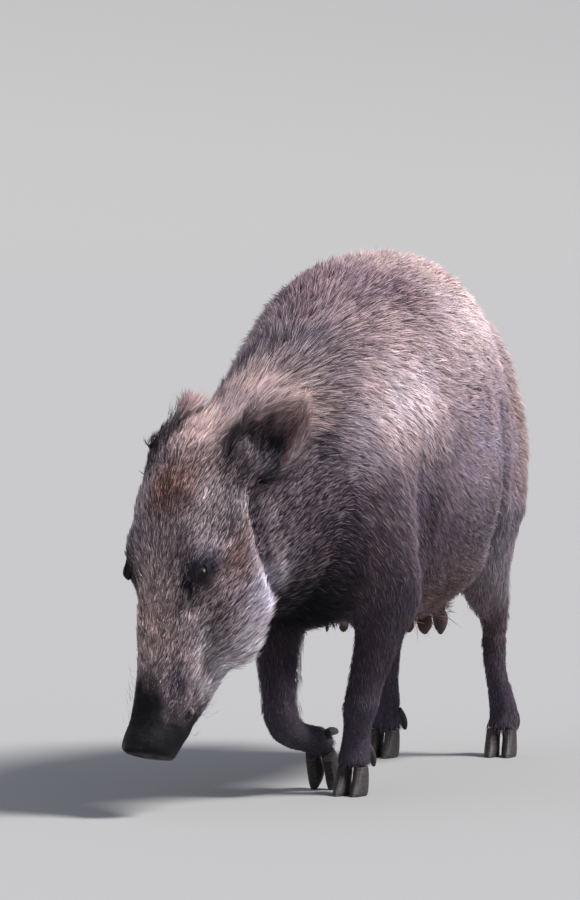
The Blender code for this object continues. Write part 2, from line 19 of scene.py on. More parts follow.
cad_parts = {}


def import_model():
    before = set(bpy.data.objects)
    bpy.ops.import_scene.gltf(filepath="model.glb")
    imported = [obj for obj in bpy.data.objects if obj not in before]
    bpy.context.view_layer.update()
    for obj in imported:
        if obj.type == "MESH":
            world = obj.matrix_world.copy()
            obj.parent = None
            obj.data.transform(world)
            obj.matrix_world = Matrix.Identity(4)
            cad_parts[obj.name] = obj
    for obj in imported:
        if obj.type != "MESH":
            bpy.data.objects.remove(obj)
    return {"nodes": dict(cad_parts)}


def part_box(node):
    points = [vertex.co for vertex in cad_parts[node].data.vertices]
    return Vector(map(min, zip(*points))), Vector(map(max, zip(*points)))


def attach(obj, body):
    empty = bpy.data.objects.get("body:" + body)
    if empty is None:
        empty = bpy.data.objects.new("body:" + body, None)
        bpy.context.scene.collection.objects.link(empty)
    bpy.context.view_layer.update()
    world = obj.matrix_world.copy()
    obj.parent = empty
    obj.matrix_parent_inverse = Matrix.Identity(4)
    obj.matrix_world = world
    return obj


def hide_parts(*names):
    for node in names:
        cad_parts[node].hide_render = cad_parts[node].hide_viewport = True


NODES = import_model()["nodes"]
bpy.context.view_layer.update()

# --- The frames of the body and the head ---
HEAD_PITCH = math.radians(75)    # how steeply the face points at the ground, as the solids have it
HEAD_TURN = math.radians(22)     # how far the head turns to the sow's right
EYE_PLACE = np.array((0.0610, 0.145, 0.0270))    # left of the face's midline, along it, out of it
EYE_RADIUS = 0.0125
POLL_IN_BODY = np.array((-0.095, -0.530, 0.462))    # from the floor under the trunk's middle

UP = np.array((0.0, 0.0, 1.0))
HEADING = np.array((-math.sin(HEAD_TURN), -math.cos(HEAD_TURN), 0.0))
SNOUTWARD = HEADING * math.cos(HEAD_PITCH) - UP * math.sin(HEAD_PITCH)
CROWNWARD = HEADING * math.sin(HEAD_PITCH) + UP * math.cos(HEAD_PITCH)
LEFTWARD = np.cross(UP, HEADING)
HEAD_AXES = np.array((LEFTWARD, SNOUTWARD, CROWNWARD))


def middle_of(node):
    low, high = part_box(node)
    return (np.array(low) + np.array(high)) / 2


BETWEEN_EYES = (middle_of("eye_left") + middle_of("eye_right")) / 2
POLL = BETWEEN_EYES - SNOUTWARD * EYE_PLACE[1] - CROWNWARD * EYE_PLACE[2]
BODY_ORIGIN = POLL - POLL_IN_BODY


def to_body(points):
    """Places from the floor under the middle of the trunk: to her left, rearwards and up."""
    return points - BODY_ORIGIN


def to_head(points):
    """Places as (left of the face's midline, along it from the poll, out of it)."""
    return (points - POLL) @ HEAD_AXES.T


def on_head(left, along, out):
    return POLL + np.array((left, along, out)) @ HEAD_AXES


# --- Mesh and number helpers ---
def link(name, mesh):
    made = bpy.data.objects.new(name, mesh)
    bpy.context.scene.collection.objects.link(made)
    return made


def read(items, field, width, kind=np.float32):
    values = np.empty(len(items) * width, kind)
    items.foreach_get(field, values)
    return values.reshape(-1, width) if width > 1 else values


def points_of(mesh):
    return read(mesh.vertices, "co", 3).astype(float)


def normals_of(mesh):
    return read(mesh.vertex_normals, "vector", 3).astype(float)


def edges_of(mesh):
    return read(mesh.edges, "vertices", 2, np.int32)


def move_points(mesh, points):
    mesh.vertices.foreach_set("co", np.ascontiguousarray(points, np.float32).ravel())
    mesh.update()


LAYER_FIELDS = {"FLOAT": "value", "FLOAT_VECTOR": "vector", "FLOAT_COLOR": "color"}


def add_layer(mesh, name, kind, values):
    """A value at each point of the mesh, for its material or its shading to read."""
    layer = mesh.attributes.new(name, kind, "POINT")
    layer.data.foreach_set(LAYER_FIELDS[kind], np.asarray(values, np.float32).ravel())


def unit(vectors):
    return vectors / np.maximum(np.linalg.norm(vectors, axis=-1, keepdims=True), 1e-9)


def ramp(values, start, end):
    """0 before start, 1 after end, smooth between."""
    share = np.clip((values - start) / (end - start), 0, 1)
    return share * share * (3 - 2 * share)


def fall(values, start, end):
    """1 before start, 0 after end, smooth between."""
    return ramp(-values, -end, -start)


def near(points, centre, radii):
    """1 at the centre, falling smoothly to a tenth about 1.5 radii away."""
    return np.exp(-(((points - np.array(centre)) / np.array(radii)) ** 2).sum(axis=1))


def near_any(points, spots):
    """near() added up over several centres and radii."""
    return sum(near(points, centre, radii) for centre, radii in spots)


SETTLING = 0.6               # how far a point goes in one round, as a share of the way to the mean


def relaxed(values, edges, rounds, weight=1.0):
    """Values at a mesh's points, moved rounds times towards the mean of their neighbours."""
    size = len(values)
    first, second = edges.T
    count = np.maximum(np.bincount(edges.ravel(), minlength=size), 1)[:, None]
    for _ in range(rounds):
        total = np.stack(
            [
                np.bincount(first, column[second], size) + np.bincount(second, column[first], size)
                for column in values.T
            ],
            axis=1,
        )
        values = values + SETTLING * weight * (total / count - values)
    return values


HASH_STEPS = np.array((73856093, 19349663, 83492791))
HASH_SEED = 7919
HASH_MIX = 1274126177


def noise(points, size, seed):
    """Smooth noise between -1 and 1, its bumps about size across."""
    cell = np.floor(points / size).astype(np.int64)
    share = points / size - cell
    share = share * share * (3 - 2 * share)
    total = np.zeros(len(points))
    for corner in itertools.product((0, 1), repeat=3):
        key = (cell + corner) @ HASH_STEPS + seed * HASH_SEED
        key = (key ^ (key >> 13)) * HASH_MIX
        value = ((key ^ (key >> 16)) & 0xFFFF) / 0x7FFF - 1
        total += value * np.prod(np.where(corner, share, 1 - share), axis=1)
    return total


# --- The skin ---
LEGS = [f"{leg}_{side}" for leg in ("foreleg", "hindleg") for side in ("left", "right")]
FLESH = ["trunk", "neck", "head", "snout", "lower_jaw", "tail", "ear_left", "ear_right"]
FLESH += [f"{leg}_{half}" for leg in LEGS for half in ("upper", "lower")]
GAP_CLOSED = 0.0008          # how far each flesh solid is swollen, so that the thin cuts close
SKIN_VOXEL = 0.0040
SKIN_TRIANGLES = 190000


def welded(node):
    """The node's solid as a bmesh with no doubled points."""
    mesh = bmesh.new()
    mesh.from_mesh(NODES[node].data)
    bmesh.ops.remove_doubles(mesh, verts=mesh.verts, dist=1e-5)
    mesh.normal_update()
    return mesh


def fused_flesh():
    """One closed mesh round all the flesh, with the eyeballs filling their sockets."""
    whole = bpy.data.meshes.new("flesh")
    gathered = bmesh.new()
    for node in [*FLESH, "eye_left", "eye_right"]:
        solid = welded(node)
        for vert in solid.verts:
            vert.co += vert.normal * GAP_CLOSED
        solid.to_mesh(whole)
        solid.free()
        gathered.from_mesh(whole)
    gathered.to_mesh(whole)
    gathered.free()
    skin = link("skin", whole)
    fuse = skin.modifiers.new("fuse", "REMESH")
    fuse.mode = "VOXEL"
    fuse.voxel_size = SKIN_VOXEL
    return settled(skin)


def settled(piece):
    """The piece with its modifiers applied."""
    graph = bpy.context.evaluated_depsgraph_get()
    done = bpy.data.meshes.new_from_object(piece.evaluated_get(graph))
    old = piece.data
    piece.modifiers.clear()
    piece.data = done
    bpy.data.meshes.remove(old)
    return piece


def nodes_nearest(points):
    """For each point, the index in FLESH of the flesh solid nearest to it."""
    corners, faces, owners = [], [], []
    for index, node in enumerate(FLESH):
        solid = welded(node)
        start = len(corners)
        corners += [vert.co.copy() for vert in solid.verts]
        faces += [[start + vert.index for vert in face.verts] for face in solid.faces]
        owners += [index] * len(solid.faces)
        solid.free()
    tree = BVHTree.FromPolygons(corners, faces)
    return np.array([owners[tree.find_nearest(point)[2]] for point in points.tolist()])


# How each region of flesh is relaxed, and how deep its coat is.
Flesh = namedtuple("Flesh", "relax depth")
FLESH_KINDS = {
    "trunk": Flesh(1.00, 0.0080),
    "neck": Flesh(0.90, 0.0085),
    "head": Flesh(0.22, 0.0035),
    "lower_jaw": Flesh(0.30, 0.0040),
    "snout": Flesh(0.06, 0.0006),
    "ear": Flesh(0.12, 0.0014),
    "tail": Flesh(0.25, 0.0040),
    "upper": Flesh(0.45, 0.0050),
    "lower": Flesh(0.14, 0.0024),
}


def kind_of(node):
    """The key in the tables of regions for a flesh node: both ears share one, and so on."""
    for kind in ("upper", "lower"):
        if node.endswith("_" + kind):
            return kind
    return "ear" if node.startswith("ear") else node


def regional(labels, edges, table, rounds=12):
    """A table's row for each point by its region, softened across the borders between regions."""
    rows = np.array([table[kind_of(node)] for node in FLESH], float)
    return relaxed(rows[labels], edges, rounds)


def laid_left(places):
    """Places with the right half laid on the left one."""
    return np.abs(places) * (1, 0, 0) + places * (0, 1, 1)


def folded(points):
    """Body places with both flanks laid on the left one."""
    return laid_left(to_body(points))


def folded_head(points):
    """Head places with both cheeks laid on the left one."""
    return laid_left(to_head(points))


def path_distance(points, path):
    """Signed distance from a path through flat places, more than 0 to its left, and how far along it."""
    path = np.array(path, float)
    nearest = np.full(len(points), np.inf)
    along = np.zeros(len(points))
    lengths = np.linalg.norm(np.diff(path, axis=0), axis=1)
    before = np.concatenate([[0], np.cumsum(lengths)])
    for start, end, length, run in zip(path, path[1:], lengths, before):
        step, offset = end - start, points - start
        share = np.clip(offset @ step / length**2, 0, 1)
        distance = np.linalg.norm(offset - share[:, None] * step, axis=1)
        left = np.where(step[0] * offset[:, 1] > step[1] * offset[:, 0], 1.0, -1.0)
        closer = distance < np.abs(nearest)
        along = np.where(closer, (run + share * length) / before[-1], along)
        nearest = np.where(closer, left * distance, nearest)
    return nearest, along


MANE_DEPTH = 0.0035          # how much deeper the coat is along the mane
BELLY_SPARED = 0.003         # and how much shallower under the belly, where it is deep at all
SHALLOW_COAT = 0.004


def coat_depth(points, depth):
    """How far the skin lies inside the solids: deepest along the mane, least round the eyes."""
    body = to_body(points)
    mane = near(body, (-0.02, -0.36, 0.66), (0.10, 0.26, 0.14))
    belly = fall(body[:, 2], 0.25, 0.33) * ramp(body[:, 1], -0.25, -0.15)
    foot = fall(body[:, 2], 0.05, 0.10)
    depth = depth + MANE_DEPTH * mane - BELLY_SPARED * belly * (depth > SHALLOW_COAT)
    eyes = near(folded_head(points), EYE_PLACE, (0.020, 0.024, 0.020))
    return depth * (1 - eyes) * (1 - 0.7 * foot)


# A groove in the skin with a swelling on its left, or a hollow where swell is below 0: its path in
# the last two of the three coordinates, the groove's half-width and depth, the swelling's height and
# distance, and where across the body or head it fades in.
Fold = namedtuple("Fold", "path width depth swell away inside outside")
BODY_FOLDS = {
    "behind the shoulder": Fold(
        [(-0.262, 0.520), (-0.262, 0.414), (-0.240, 0.343), (-0.205, 0.290), (-0.180, 0.240)],
        0.022, 0.010, -0.005, 0.034, 0.05, 0.09,
    ),
    "before the thigh": Fold(
        [(0.050, 0.560), (0.080, 0.480), (0.110, 0.400), (0.150, 0.330), (0.180, 0.280)],
        0.020, 0.012, 0.004, 0.045, 0.05, 0.09,
    ),
    "under the shoulder blade": Fold(
        [(-0.340, 0.450), (-0.350, 0.370), (-0.330, 0.300)], 0.020, 0.006, 0.003, 0.030, 0.04, 0.08
    ),
}
HEAD_FOLDS = {
    "behind the jowl": Fold(
        [(0.010, -0.012), (0.050, -0.026), (0.090, -0.048), (0.125, -0.080), (0.160, -0.118)],
        0.011, 0.010, 0.007, 0.026, 0.03, 0.05,
    ),
    "between the lips": Fold(
        [(0.288, -0.052), (0.310, -0.047), (0.335, -0.041), (0.360, -0.034), (0.382, -0.031)],
        0.0026, 0.0035, 0.0022, 0.008, 0.00, 0.012,
    ),
    "under the eye": Fold(
        [(0.115, 0.006), (0.145, 0.002), (0.175, 0.008)], 0.003, 0.0012, 0.0006, 0.006, 0.03, 0.05
    ),
    "below the cheek": Fold(
        [(0.205, 0.004), (0.225, -0.020), (0.250, -0.034), (0.280, -0.040)],
        0.010, 0.0030, 0.0, 0.02, 0.02, 0.03,
    ),
}


def folded_in(places, folds):
    """How far each point rises or sinks with a set of folds."""
    raised = np.zeros(len(places))
    for fold in folds.values():
        distance, along = path_distance(places[:, 1:], fold.path)
        fade = ramp(along, 0.0, 0.25) * fall(along, 0.85, 1.0)
        fade = fade * ramp(places[:, 0], fold.inside, fold.outside)
        raised -= fold.depth * fade * np.exp(-((distance / fold.width) ** 2))
        raised += fold.swell * fade * np.exp(-(((distance - fold.away) / (0.7 * fold.away)) ** 2))
    return raised


# Masses that swell or hollow the skin: middle, reach, height.
BODY_MASSES = {
    "shoulder": ((0.14, -0.31, 0.44), (0.06, 0.04, 0.10), 0.006),
    "upper arm": ((0.12, -0.29, 0.33), (0.05, 0.04, 0.06), 0.005),
    "elbow": ((0.12, -0.20, 0.27), (0.04, 0.03, 0.03), 0.005),
    "ribs": ((0.18, -0.12, 0.40), (0.06, 0.08, 0.12), 0.006),
    "haunch": ((0.12, 0.27, 0.42), (0.06, 0.07, 0.12), 0.006),
    "brisket": ((0.00, -0.36, 0.26), (0.07, 0.07, 0.05), 0.006),
    "udder": ((0.05, 0.10, 0.225), (0.04, 0.12, 0.03), 0.006),
}
HEAD_MASSES = {
    "brow": ((0.050, 0.116, 0.048), (0.016, 0.026, 0.016), 0.0045),
    "hollow before the eye": ((0.052, 0.184, 0.024), (0.013, 0.022, 0.016), -0.0060),
    "cheekbone": ((0.076, 0.160, -0.015), (0.025, 0.030, 0.014), 0.0035),
    "temple": ((0.074, 0.080, 0.020), (0.020, 0.022, 0.020), -0.0030),
    "jowl": ((0.075, 0.165, -0.065), (0.030, 0.042, 0.035), 0.0075),
    "jaw": ((0.045, 0.240, -0.090), (0.032, 0.058, 0.038), 0.0170),
    "chin": ((0.026, 0.300, -0.058), (0.028, 0.040, 0.018), 0.0070),
    "nose ridge": ((0.000, 0.260, 0.040), (0.010, 0.080, 0.020), 0.0025),
    "beside the nose": ((0.030, 0.285, 0.020), (0.009, 0.055, 0.010), -0.0028),
    "upper lip": ((0.041, 0.325, -0.012), (0.010, 0.026, 0.014), 0.0040),
    "dip of the forehead": ((0.000, 0.080, 0.058), (0.020, 0.050, 0.020), -0.0030),
    "rim of the disc": ((0.000, 0.392, 0.040), (0.034, 0.006, 0.008), 0.0022),
}


def swollen_by(places, masses):
    return sum(height * near(places, middle, reach) for middle, reach, height in masses.values())


MUZZLE_CREASES = (0.342, 0.350, 0.357, 0.363, 0.369, 0.375)    # from the poll
CREASE_DEPTH = 0.0006
CREASE_WIDTH = 0.0013


def muzzle_wrinkles(places):
    """Fine creases across the muzzle behind the disc, fading towards the chin."""
    raised = np.zeros(len(places))
    sway = 0.003 * noise(places, 0.012, 31) + 0.002 * np.sin(places[:, 0] * 130)
    for along in MUZZLE_CREASES:
        raised -= CREASE_DEPTH * np.exp(-(((places[:, 1] + sway - along) / CREASE_WIDTH) ** 2))
    return raised * ramp(places[:, 2], -0.025, -0.005) * (0.5 + 0.5 * noise(places, 0.02, 32))


def sculpt(mesh):
    """The folds and masses of the body, then those of the head."""
    for fold, folds, masses in ((folded, BODY_FOLDS, BODY_MASSES), (folded_head, HEAD_FOLDS, HEAD_MASSES)):
        points, normals = points_of(mesh), normals_of(mesh)
        places = fold(points)
        raised = folded_in(places, folds) + swollen_by(places, masses)
        if fold is folded_head:
            on_face = fall(np.abs(places[:, 2]), 0.18, 0.24) * fall(places[:, 1], 0.43, 0.46)
            raised = (raised + muzzle_wrinkles(places)) * on_face
        move_points(mesh, points + normals * raised[:, None])


# The ways that the left eye's gaze and its front corner lie, in the head's frame.
EYE_FACES = np.array((0.72, -0.05, 0.69))
EYE_CORNER = np.array((-0.18, 0.95, -0.05))
LID_REACH = 0.030            # from the middle of the ball
LID_THICKNESS = 0.0013
LID_SOFTNESS = 0.0028
LID_ROLL = 0.0006            # how much thicker a lid is along its edge
LID_CREASE = 0.0009          # how deep the crease above the upper lid is
LID_SINK = 0.0030            # how far inside the ball the skin passes, where the lids part
# The opening, as angles in radians seen from the middle of the ball.
OPENING_LENGTH = 1.00
UPPER_OPENING = 0.56
LOWER_OPENING = 0.44
CREASE_ABOVE = 0.30
EDGE_BAND = 0.055            # what lies this near the edge is drawn onto it
SHUT = 0.02                  # the lids don't part where the opening is narrower


def eye_axes(side):
    """The ball's middle, and the ways its gaze, its front corner and its upper lid lie."""
    centre = on_head(side * EYE_PLACE[0], *EYE_PLACE[1:])
    gaze = unit(EYE_FACES * (side, 1, 1)) @ HEAD_AXES
    corner = (EYE_CORNER * (side, 1, 1)) @ HEAD_AXES
    corner = unit(corner - gaze * (corner @ gaze))
    upper = np.cross(gaze, corner)
    return centre, gaze, corner, upper * np.sign(upper @ CROWNWARD)


def form_lids(mesh):
    """Lids that lie over each ball and part in an almond."""
    points = points_of(mesh)
    for side in (1, -1):
        centre, gaze, corner, upper = eye_axes(side)
        offset = points - centre
        reach = np.linalg.norm(offset, axis=1)
        ahead = offset @ gaze / reach
        chosen = np.flatnonzero((reach < LID_REACH) & (ahead > 0.15))
        offset, reach = offset[chosen], reach[chosen]
        length = np.arctan2(offset @ corner, offset @ gaze)
        height = np.arctan2(offset @ upper, offset @ gaze)
        open_to = np.where(height > 0, UPPER_OPENING, LOWER_OPENING)
        edge = open_to * np.clip(1 - (length / OPENING_LENGTH) ** 2, 0, 1) ** 0.8
        beyond = np.abs(height) - edge
        crease = np.exp(-(((height - edge - CREASE_ABOVE) / 0.10) ** 2)) * (height > 0)
        margin = np.exp(-((beyond / 0.12) ** 2))
        lid = EYE_RADIUS + LID_THICKNESS + LID_ROLL * margin - LID_CREASE * crease
        blended = LID_SOFTNESS * np.logaddexp(reach / LID_SOFTNESS, lid / LID_SOFTNESS)
        near_edge = (np.abs(beyond) < EDGE_BAND) & (edge > SHUT)
        height = np.where(near_edge, np.sign(height) * edge, height)
        inside = (beyond < -EDGE_BAND) & (edge > SHUT)
        blended = np.where(inside, EYE_RADIUS - LID_SINK, np.where(near_edge, lid, blended))
        way = (
            gaze * (np.cos(length) * np.cos(height))[:, None]
            + corner * (np.sin(length) * np.cos(height))[:, None]
            + upper * (np.cos(length) * np.sin(height))[:, None]
        )
        points[chosen] = centre + unit(way) * blended[:, None]
    move_points(mesh, points)


def split_edges(skin, chosen):
    """Splits every edge that lies among the chosen points."""
    mesh = bmesh.new()
    mesh.from_mesh(skin.data)
    keep = [edge for edge in mesh.edges if chosen[edge.verts[0].index] and chosen[edge.verts[1].index]]
    bmesh.ops.subdivide_edges(mesh, edges=keep, cuts=1, use_grid_fill=True)
    mesh.to_mesh(skin.data)
    mesh.free()


def around_eyes(points, reach):
    """Which points lie within reach of the middle of either eye."""
    return np.linalg.norm(folded_head(points) - EYE_PLACE, axis=1) < reach


MUZZLE_FROM = 0.27           # along the head; the muzzle's mesh is finer from here
HEAD_REACH = 0.45            # along the head; what lies farther is a foot


def on_muzzle(points):
    """Which points lie on the muzzle or the lower jaw."""
    head = to_head(points)
    return (head[:, 1] > MUZZLE_FROM) & (np.abs(head[:, 2]) < 0.10) & (head[:, 1] < HEAD_REACH)


def refine(skin, chosen_at):
    """A finer mesh where chosen_at says, settled so that the new points lie smoothly."""
    split_edges(skin, chosen_at(points_of(skin.data)))
    points = points_of(skin.data)
    chosen = chosen_at(points).astype(float)[:, None]
    move_points(skin.data, relaxed(points, edges_of(skin.data), 3, 0.6 * chosen))


def settle_sockets(mesh):
    """Smooths the skin round the eyes before the lids are formed."""
    points = points_of(mesh)
    sockets = around_eyes(points, 0.026).astype(float)[:, None]
    move_points(mesh, relaxed(points, edges_of(mesh), 14, 0.6 * sockets))


def on_teats(points):
    """1 on the teats and the underside of the udder, which keep the shape of the solids."""
    body = to_body(points)
    teats = fall(body[:, 2], 0.216, 0.226) * ramp(body[:, 1], -0.15, -0.13)
    teats = teats * fall(body[:, 1], 0.20, 0.22)
    return teats * fall(np.abs(body[:, 0]), 0.065, 0.075)


def draw_in(mesh):
    """Relaxes the fused flesh, each region by its own share, and draws it in by the coat's depth."""
    points = points_of(mesh)
    edges = edges_of(mesh)
    kinds = regional(nodes_nearest(points), edges, FLESH_KINDS)
    teats = on_teats(points)
    eyes = near(folded_head(points), EYE_PLACE, (0.020, 0.020, 0.020))
    weight = kinds[:, :1] * (1 - 0.9 * teats[:, None]) * (1 - 0.85 * eyes[:, None])
    move_points(mesh, relaxed(points, edges, 60, weight))
    points = points_of(mesh)
    depth = coat_depth(points, kinds[:, 1]) * (1 - 0.9 * teats)
    move_points(mesh, points - normals_of(mesh) * depth[:, None])


def thin_out(skin):
    """Fewer triangles everywhere but on the muzzle and round the eyes."""
    thinner = skin.modifiers.new("thin_out", "DECIMATE")
    thinner.ratio = SKIN_TRIANGLES / sum(len(face.vertices) - 2 for face in skin.data.polygons)
    points = points_of(skin.data)
    along = to_head(points)[:, 1]
    detailed = around_eyes(points, 0.030) | (along > MUZZLE_FROM) & (along < HEAD_REACH)
    plain = skin.vertex_groups.new(name="plain")
    plain.add(np.flatnonzero(~detailed).tolist(), 1.0, "REPLACE")
    thinner.vertex_group = plain.name
    thinner.vertex_group_factor = 1.0
    settled(skin)


def skin_piece():
    """One closed skin round all the flesh, sculpted, with lids over its eyes."""
    skin = fused_flesh()
    draw_in(skin.data)
    refine(skin, lambda points: around_eyes(points, 0.036) | on_muzzle(points))
    refine(skin, lambda points: around_eyes(points, 0.024))
    sculpt(skin.data)
    settle_sockets(skin.data)
    form_lids(skin.data)
    thin_out(skin)
    skin.data.shade_smooth()
    return skin


# --- Colours ---
def linear(red, green, blue):
    """A linear colour from one given as 0-255 sRGB."""
    share = np.array((red, green, blue)) / 255
    return np.where(share > 0.04045, ((share + 0.055) / 1.055) ** 2.4, share / 12.92)


BACK_TAN = linear(156, 136, 132)
BACK_BROWN = linear(141, 120, 125)
BACK_DARK = linear(88, 70, 80)
BLUE_BLACK = linear(70, 61, 70)
FLANK_GREY = linear(145, 132, 145)
FLANK_DARK = linear(94, 84, 97)
PALE_TAN_AND_SHEEN = linear(228, 210, 216)
# pale tan hair, made paler still as a painted sheen
RUMP_BROWN = linear(166, 146, 139)
NECK_PURPLE = linear(46, 39, 49)
BELLY_RED = linear(88, 62, 59)
# dark hair of the chest, darkened further as painted shade under the neck
CHEST_BLACK_AND_SHADE = linear(8, 9, 16)
LEG_DARK = linear(78, 71, 82)
THIGH_GREY = linear(150, 140, 150)
FACE_GREY = linear(122, 109, 115)
CROWN_TAN = linear(184, 161, 160)
FOREHEAD_BROWN = linear(112, 83, 76)
GRIZZLED = linear(78, 70, 76)
EAR_RED = linear(136, 104, 104)
# painted shade in the ears' hollows
EAR_HOLLOW_SHADE = linear(20, 17, 24)
EAR_SHADE = linear(50, 43, 48)
EAR_FRINGE = linear(140, 130, 136)
SNOUT_BLACK = linear(10, 9, 14)
JOWL_PALE = linear(200, 192, 208)
CHEEK_DARK = linear(68, 60, 68)
EYE_DARK = linear(20, 18, 27)
LID_GREY = linear(100, 94, 108)
EYE_BROWN = linear(122, 97, 96)
BRIDGE_BROWN = linear(168, 144, 141)
STREAK_PALE = linear(206, 196, 204)
# silver hair under the jaw, brightened as painted light from below
JAW_SILVER_AND_LIGHT = linear(246, 240, 252)
LIP_GREY = linear(64, 56, 66)
HAIR_TIP = linear(226, 212, 206)

REGION_COLOURS = {
    "trunk": BACK_BROWN,
    "neck": NECK_PURPLE,
    "head": FACE_GREY,
    "lower_jaw": CHEEK_DARK,
    "snout": SNOUT_BLACK,
    "ear": EAR_RED,
    "tail": BACK_DARK,
    "upper": LEG_DARK,
    "lower": LEG_DARK,
}

# A patch of colour, on both sides alike: its middle and reach, its colour and its strength there.
Patch = namedtuple("Patch", "colour middle reach strength")
BODY_PATCHES = [
    Patch(FLANK_GREY, (0.18, 0.02, 0.46), (0.08, 0.36, 0.13), 0.90),
    Patch(FLANK_DARK, (0.17, -0.04, 0.34), (0.08, 0.30, 0.08), 0.90),
    Patch(BACK_TAN, (0.05, 0.10, 0.76), (0.14, 0.34, 0.10), 0.80),
    # pale tan hair along the upper flank, brightened as a painted highlight
    Patch(PALE_TAN_AND_SHEEN, (0.15, 0.04, 0.66), (0.05, 0.20, 0.06), 0.75),
    Patch(RUMP_BROWN, (0.14, 0.36, 0.48), (0.10, 0.09, 0.16), 0.80),
    Patch(NECK_PURPLE, (0.06, -0.45, 0.42), (0.09, 0.08, 0.12), 1.20),
    Patch(NECK_PURPLE, (0.03, -0.51, 0.42), (0.06, 0.05, 0.07), 1.00),
    Patch(FLANK_GREY, (0.10, -0.375, 0.50), (0.04, 0.05, 0.05), 1.00),
    Patch(FLANK_DARK, (0.13, -0.27, 0.38), (0.06, 0.10, 0.10), 0.80),
    # painted shade in the crease behind the shoulder
    Patch(BLUE_BLACK, (0.14, -0.222, 0.35), (0.06, 0.022, 0.12), 0.90),
    Patch(BACK_DARK, (0.00, -0.27, 0.70), (0.08, 0.18, 0.08), 1.40),
    Patch(BACK_DARK, (0.075, -0.20, 0.70), (0.045, 0.08, 0.055), 1.30),
    # pale tan hair on the shoulder, brightened as a painted sheen
    Patch(PALE_TAN_AND_SHEEN, (0.130, -0.28, 0.550), (0.050, 0.095, 0.060), 1.00),
    Patch(BLUE_BLACK, (0.02, -0.40, 0.63), (0.06, 0.08, 0.07), 1.20),
    Patch(CROWN_TAN, (0.00, -0.49, 0.57), (0.07, 0.05, 0.045), 1.30),
    Patch(BELLY_RED, (0.12, 0.02, 0.27), (0.07, 0.26, 0.05), 0.90),
    Patch(BELLY_RED, (0.05, 0.08, 0.21), (0.16, 0.30, 0.06), 0.90),
    Patch(THIGH_GREY, (0.11, 0.22, 0.29), (0.06, 0.12, 0.10), 0.85),
    Patch(FLANK_DARK, (0.10, -0.25, 0.26), (0.09, 0.10, 0.08), 0.90),
    # painted shade under the neck, over the chest's dark hair
    Patch(CHEST_BLACK_AND_SHADE, (0.02, -0.39, 0.27), (0.10, 0.12, 0.08), 1.00),
]
HEAD_PATCHES = [
    Patch(CROWN_TAN, (0.00, -0.065, 0.015), (0.055, 0.050, 0.050), 0.95),
    Patch(GRIZZLED, (0.072, 0.000, 0.022), (0.026, 0.055, 0.030), 1.10),
    Patch(EAR_SHADE, (0.062, -0.035, 0.012), (0.026, 0.040, 0.024), 1.10),
    Patch(EAR_SHADE, (0.066, -0.045, 0.008), (0.022, 0.036, 0.024), 1.40),
    Patch(EAR_SHADE, (0.080, -0.015, 0.004), (0.020, 0.042, 0.026), 1.40),
    # painted shade in the ear's hollow, near its root
    Patch(EAR_HOLLOW_SHADE, (0.086, -0.072, -0.024), (0.010, 0.020, 0.012), 1.20),
    Patch(EAR_HOLLOW_SHADE, (0.088, -0.036, -0.028), (0.015, 0.028, 0.017), 1.50),
    Patch(EAR_HOLLOW_SHADE, (0.101, -0.004, -0.020), (0.015, 0.022, 0.017), 1.50),
    Patch(EAR_FRINGE, (0.080, -0.048, -0.002), (0.004, 0.028, 0.004), 0.50),
    Patch(FOREHEAD_BROWN, (0.012, 0.010, 0.050), (0.030, 0.035, 0.030), 0.70),
    Patch(FOREHEAD_BROWN, (0.00, 0.045, 0.055), (0.040, 0.038, 0.030), 1.10),
    Patch(FACE_GREY, (0.020, 0.115, 0.055), (0.030, 0.026, 0.020), 0.35),
    Patch(BRIDGE_BROWN, (0.00, 0.215, 0.040), (0.034, 0.085, 0.024), 1.10),
    Patch(CHEEK_DARK, (0.073, 0.190, -0.034), (0.028, 0.060, 0.034), 0.95),
    Patch(EAR_FRINGE, (0.087, 0.045, -0.010), (0.012, 0.020, 0.014), 0.45),
    Patch(EYE_BROWN, (0.086, 0.122, -0.012), (0.020, 0.042, 0.022), 1.10),
    Patch(GRIZZLED, (0.052, 0.160, 0.040), (0.026, 0.040, 0.016), 0.55),
    Patch(EYE_DARK, (0.062, 0.138, 0.030), (0.020, 0.023, 0.019), 1.60),
    Patch(EYE_DARK, (0.047, 0.174, 0.034), (0.010, 0.022, 0.012), 1.50),
    Patch(LID_GREY, (0.066, 0.129, 0.035), (0.012, 0.006, 0.012), 0.60),
    Patch(GRIZZLED, (0.090, 0.055, -0.045), (0.018, 0.060, 0.018), 1.00),
    Patch(JOWL_PALE, (0.080, 0.155, -0.080), (0.022, 0.048, 0.026), 1.20),
    # painted light from below on the jaw's silver hair
    Patch(JAW_SILVER_AND_LIGHT, (0.050, 0.238, -0.072), (0.030, 0.052, 0.028), 1.00),
    Patch(STREAK_PALE, (0.047, 0.250, -0.020), (0.012, 0.040, 0.014), 0.80),
    Patch(STREAK_PALE, (0.038, 0.284, -0.044), (0.010, 0.020, 0.014), 0.70),
    # silver hair at the temples, made paler as painted light on the face's edge
    Patch(STREAK_PALE, (0.050, 0.040, 0.045), (0.010, 0.050, 0.012), 0.18),
    Patch(LIP_GREY, (0.035, 0.302, 0.006), (0.018, 0.034, 0.026), 1.10),
    Patch(SNOUT_BLACK, (0.037, 0.304, -0.026), (0.008, 0.012, 0.006), 0.85),
]
BODY_SWAY = 0.016            # how far a patch's edge wanders
HEAD_SWAY = 0.004
MUZZLE_EDGE = 0.340          # from the poll, where the muzzle turns black at its sides
MUZZLE_RISE = 0.036          # how much nearer the poll it turns black along the bridge
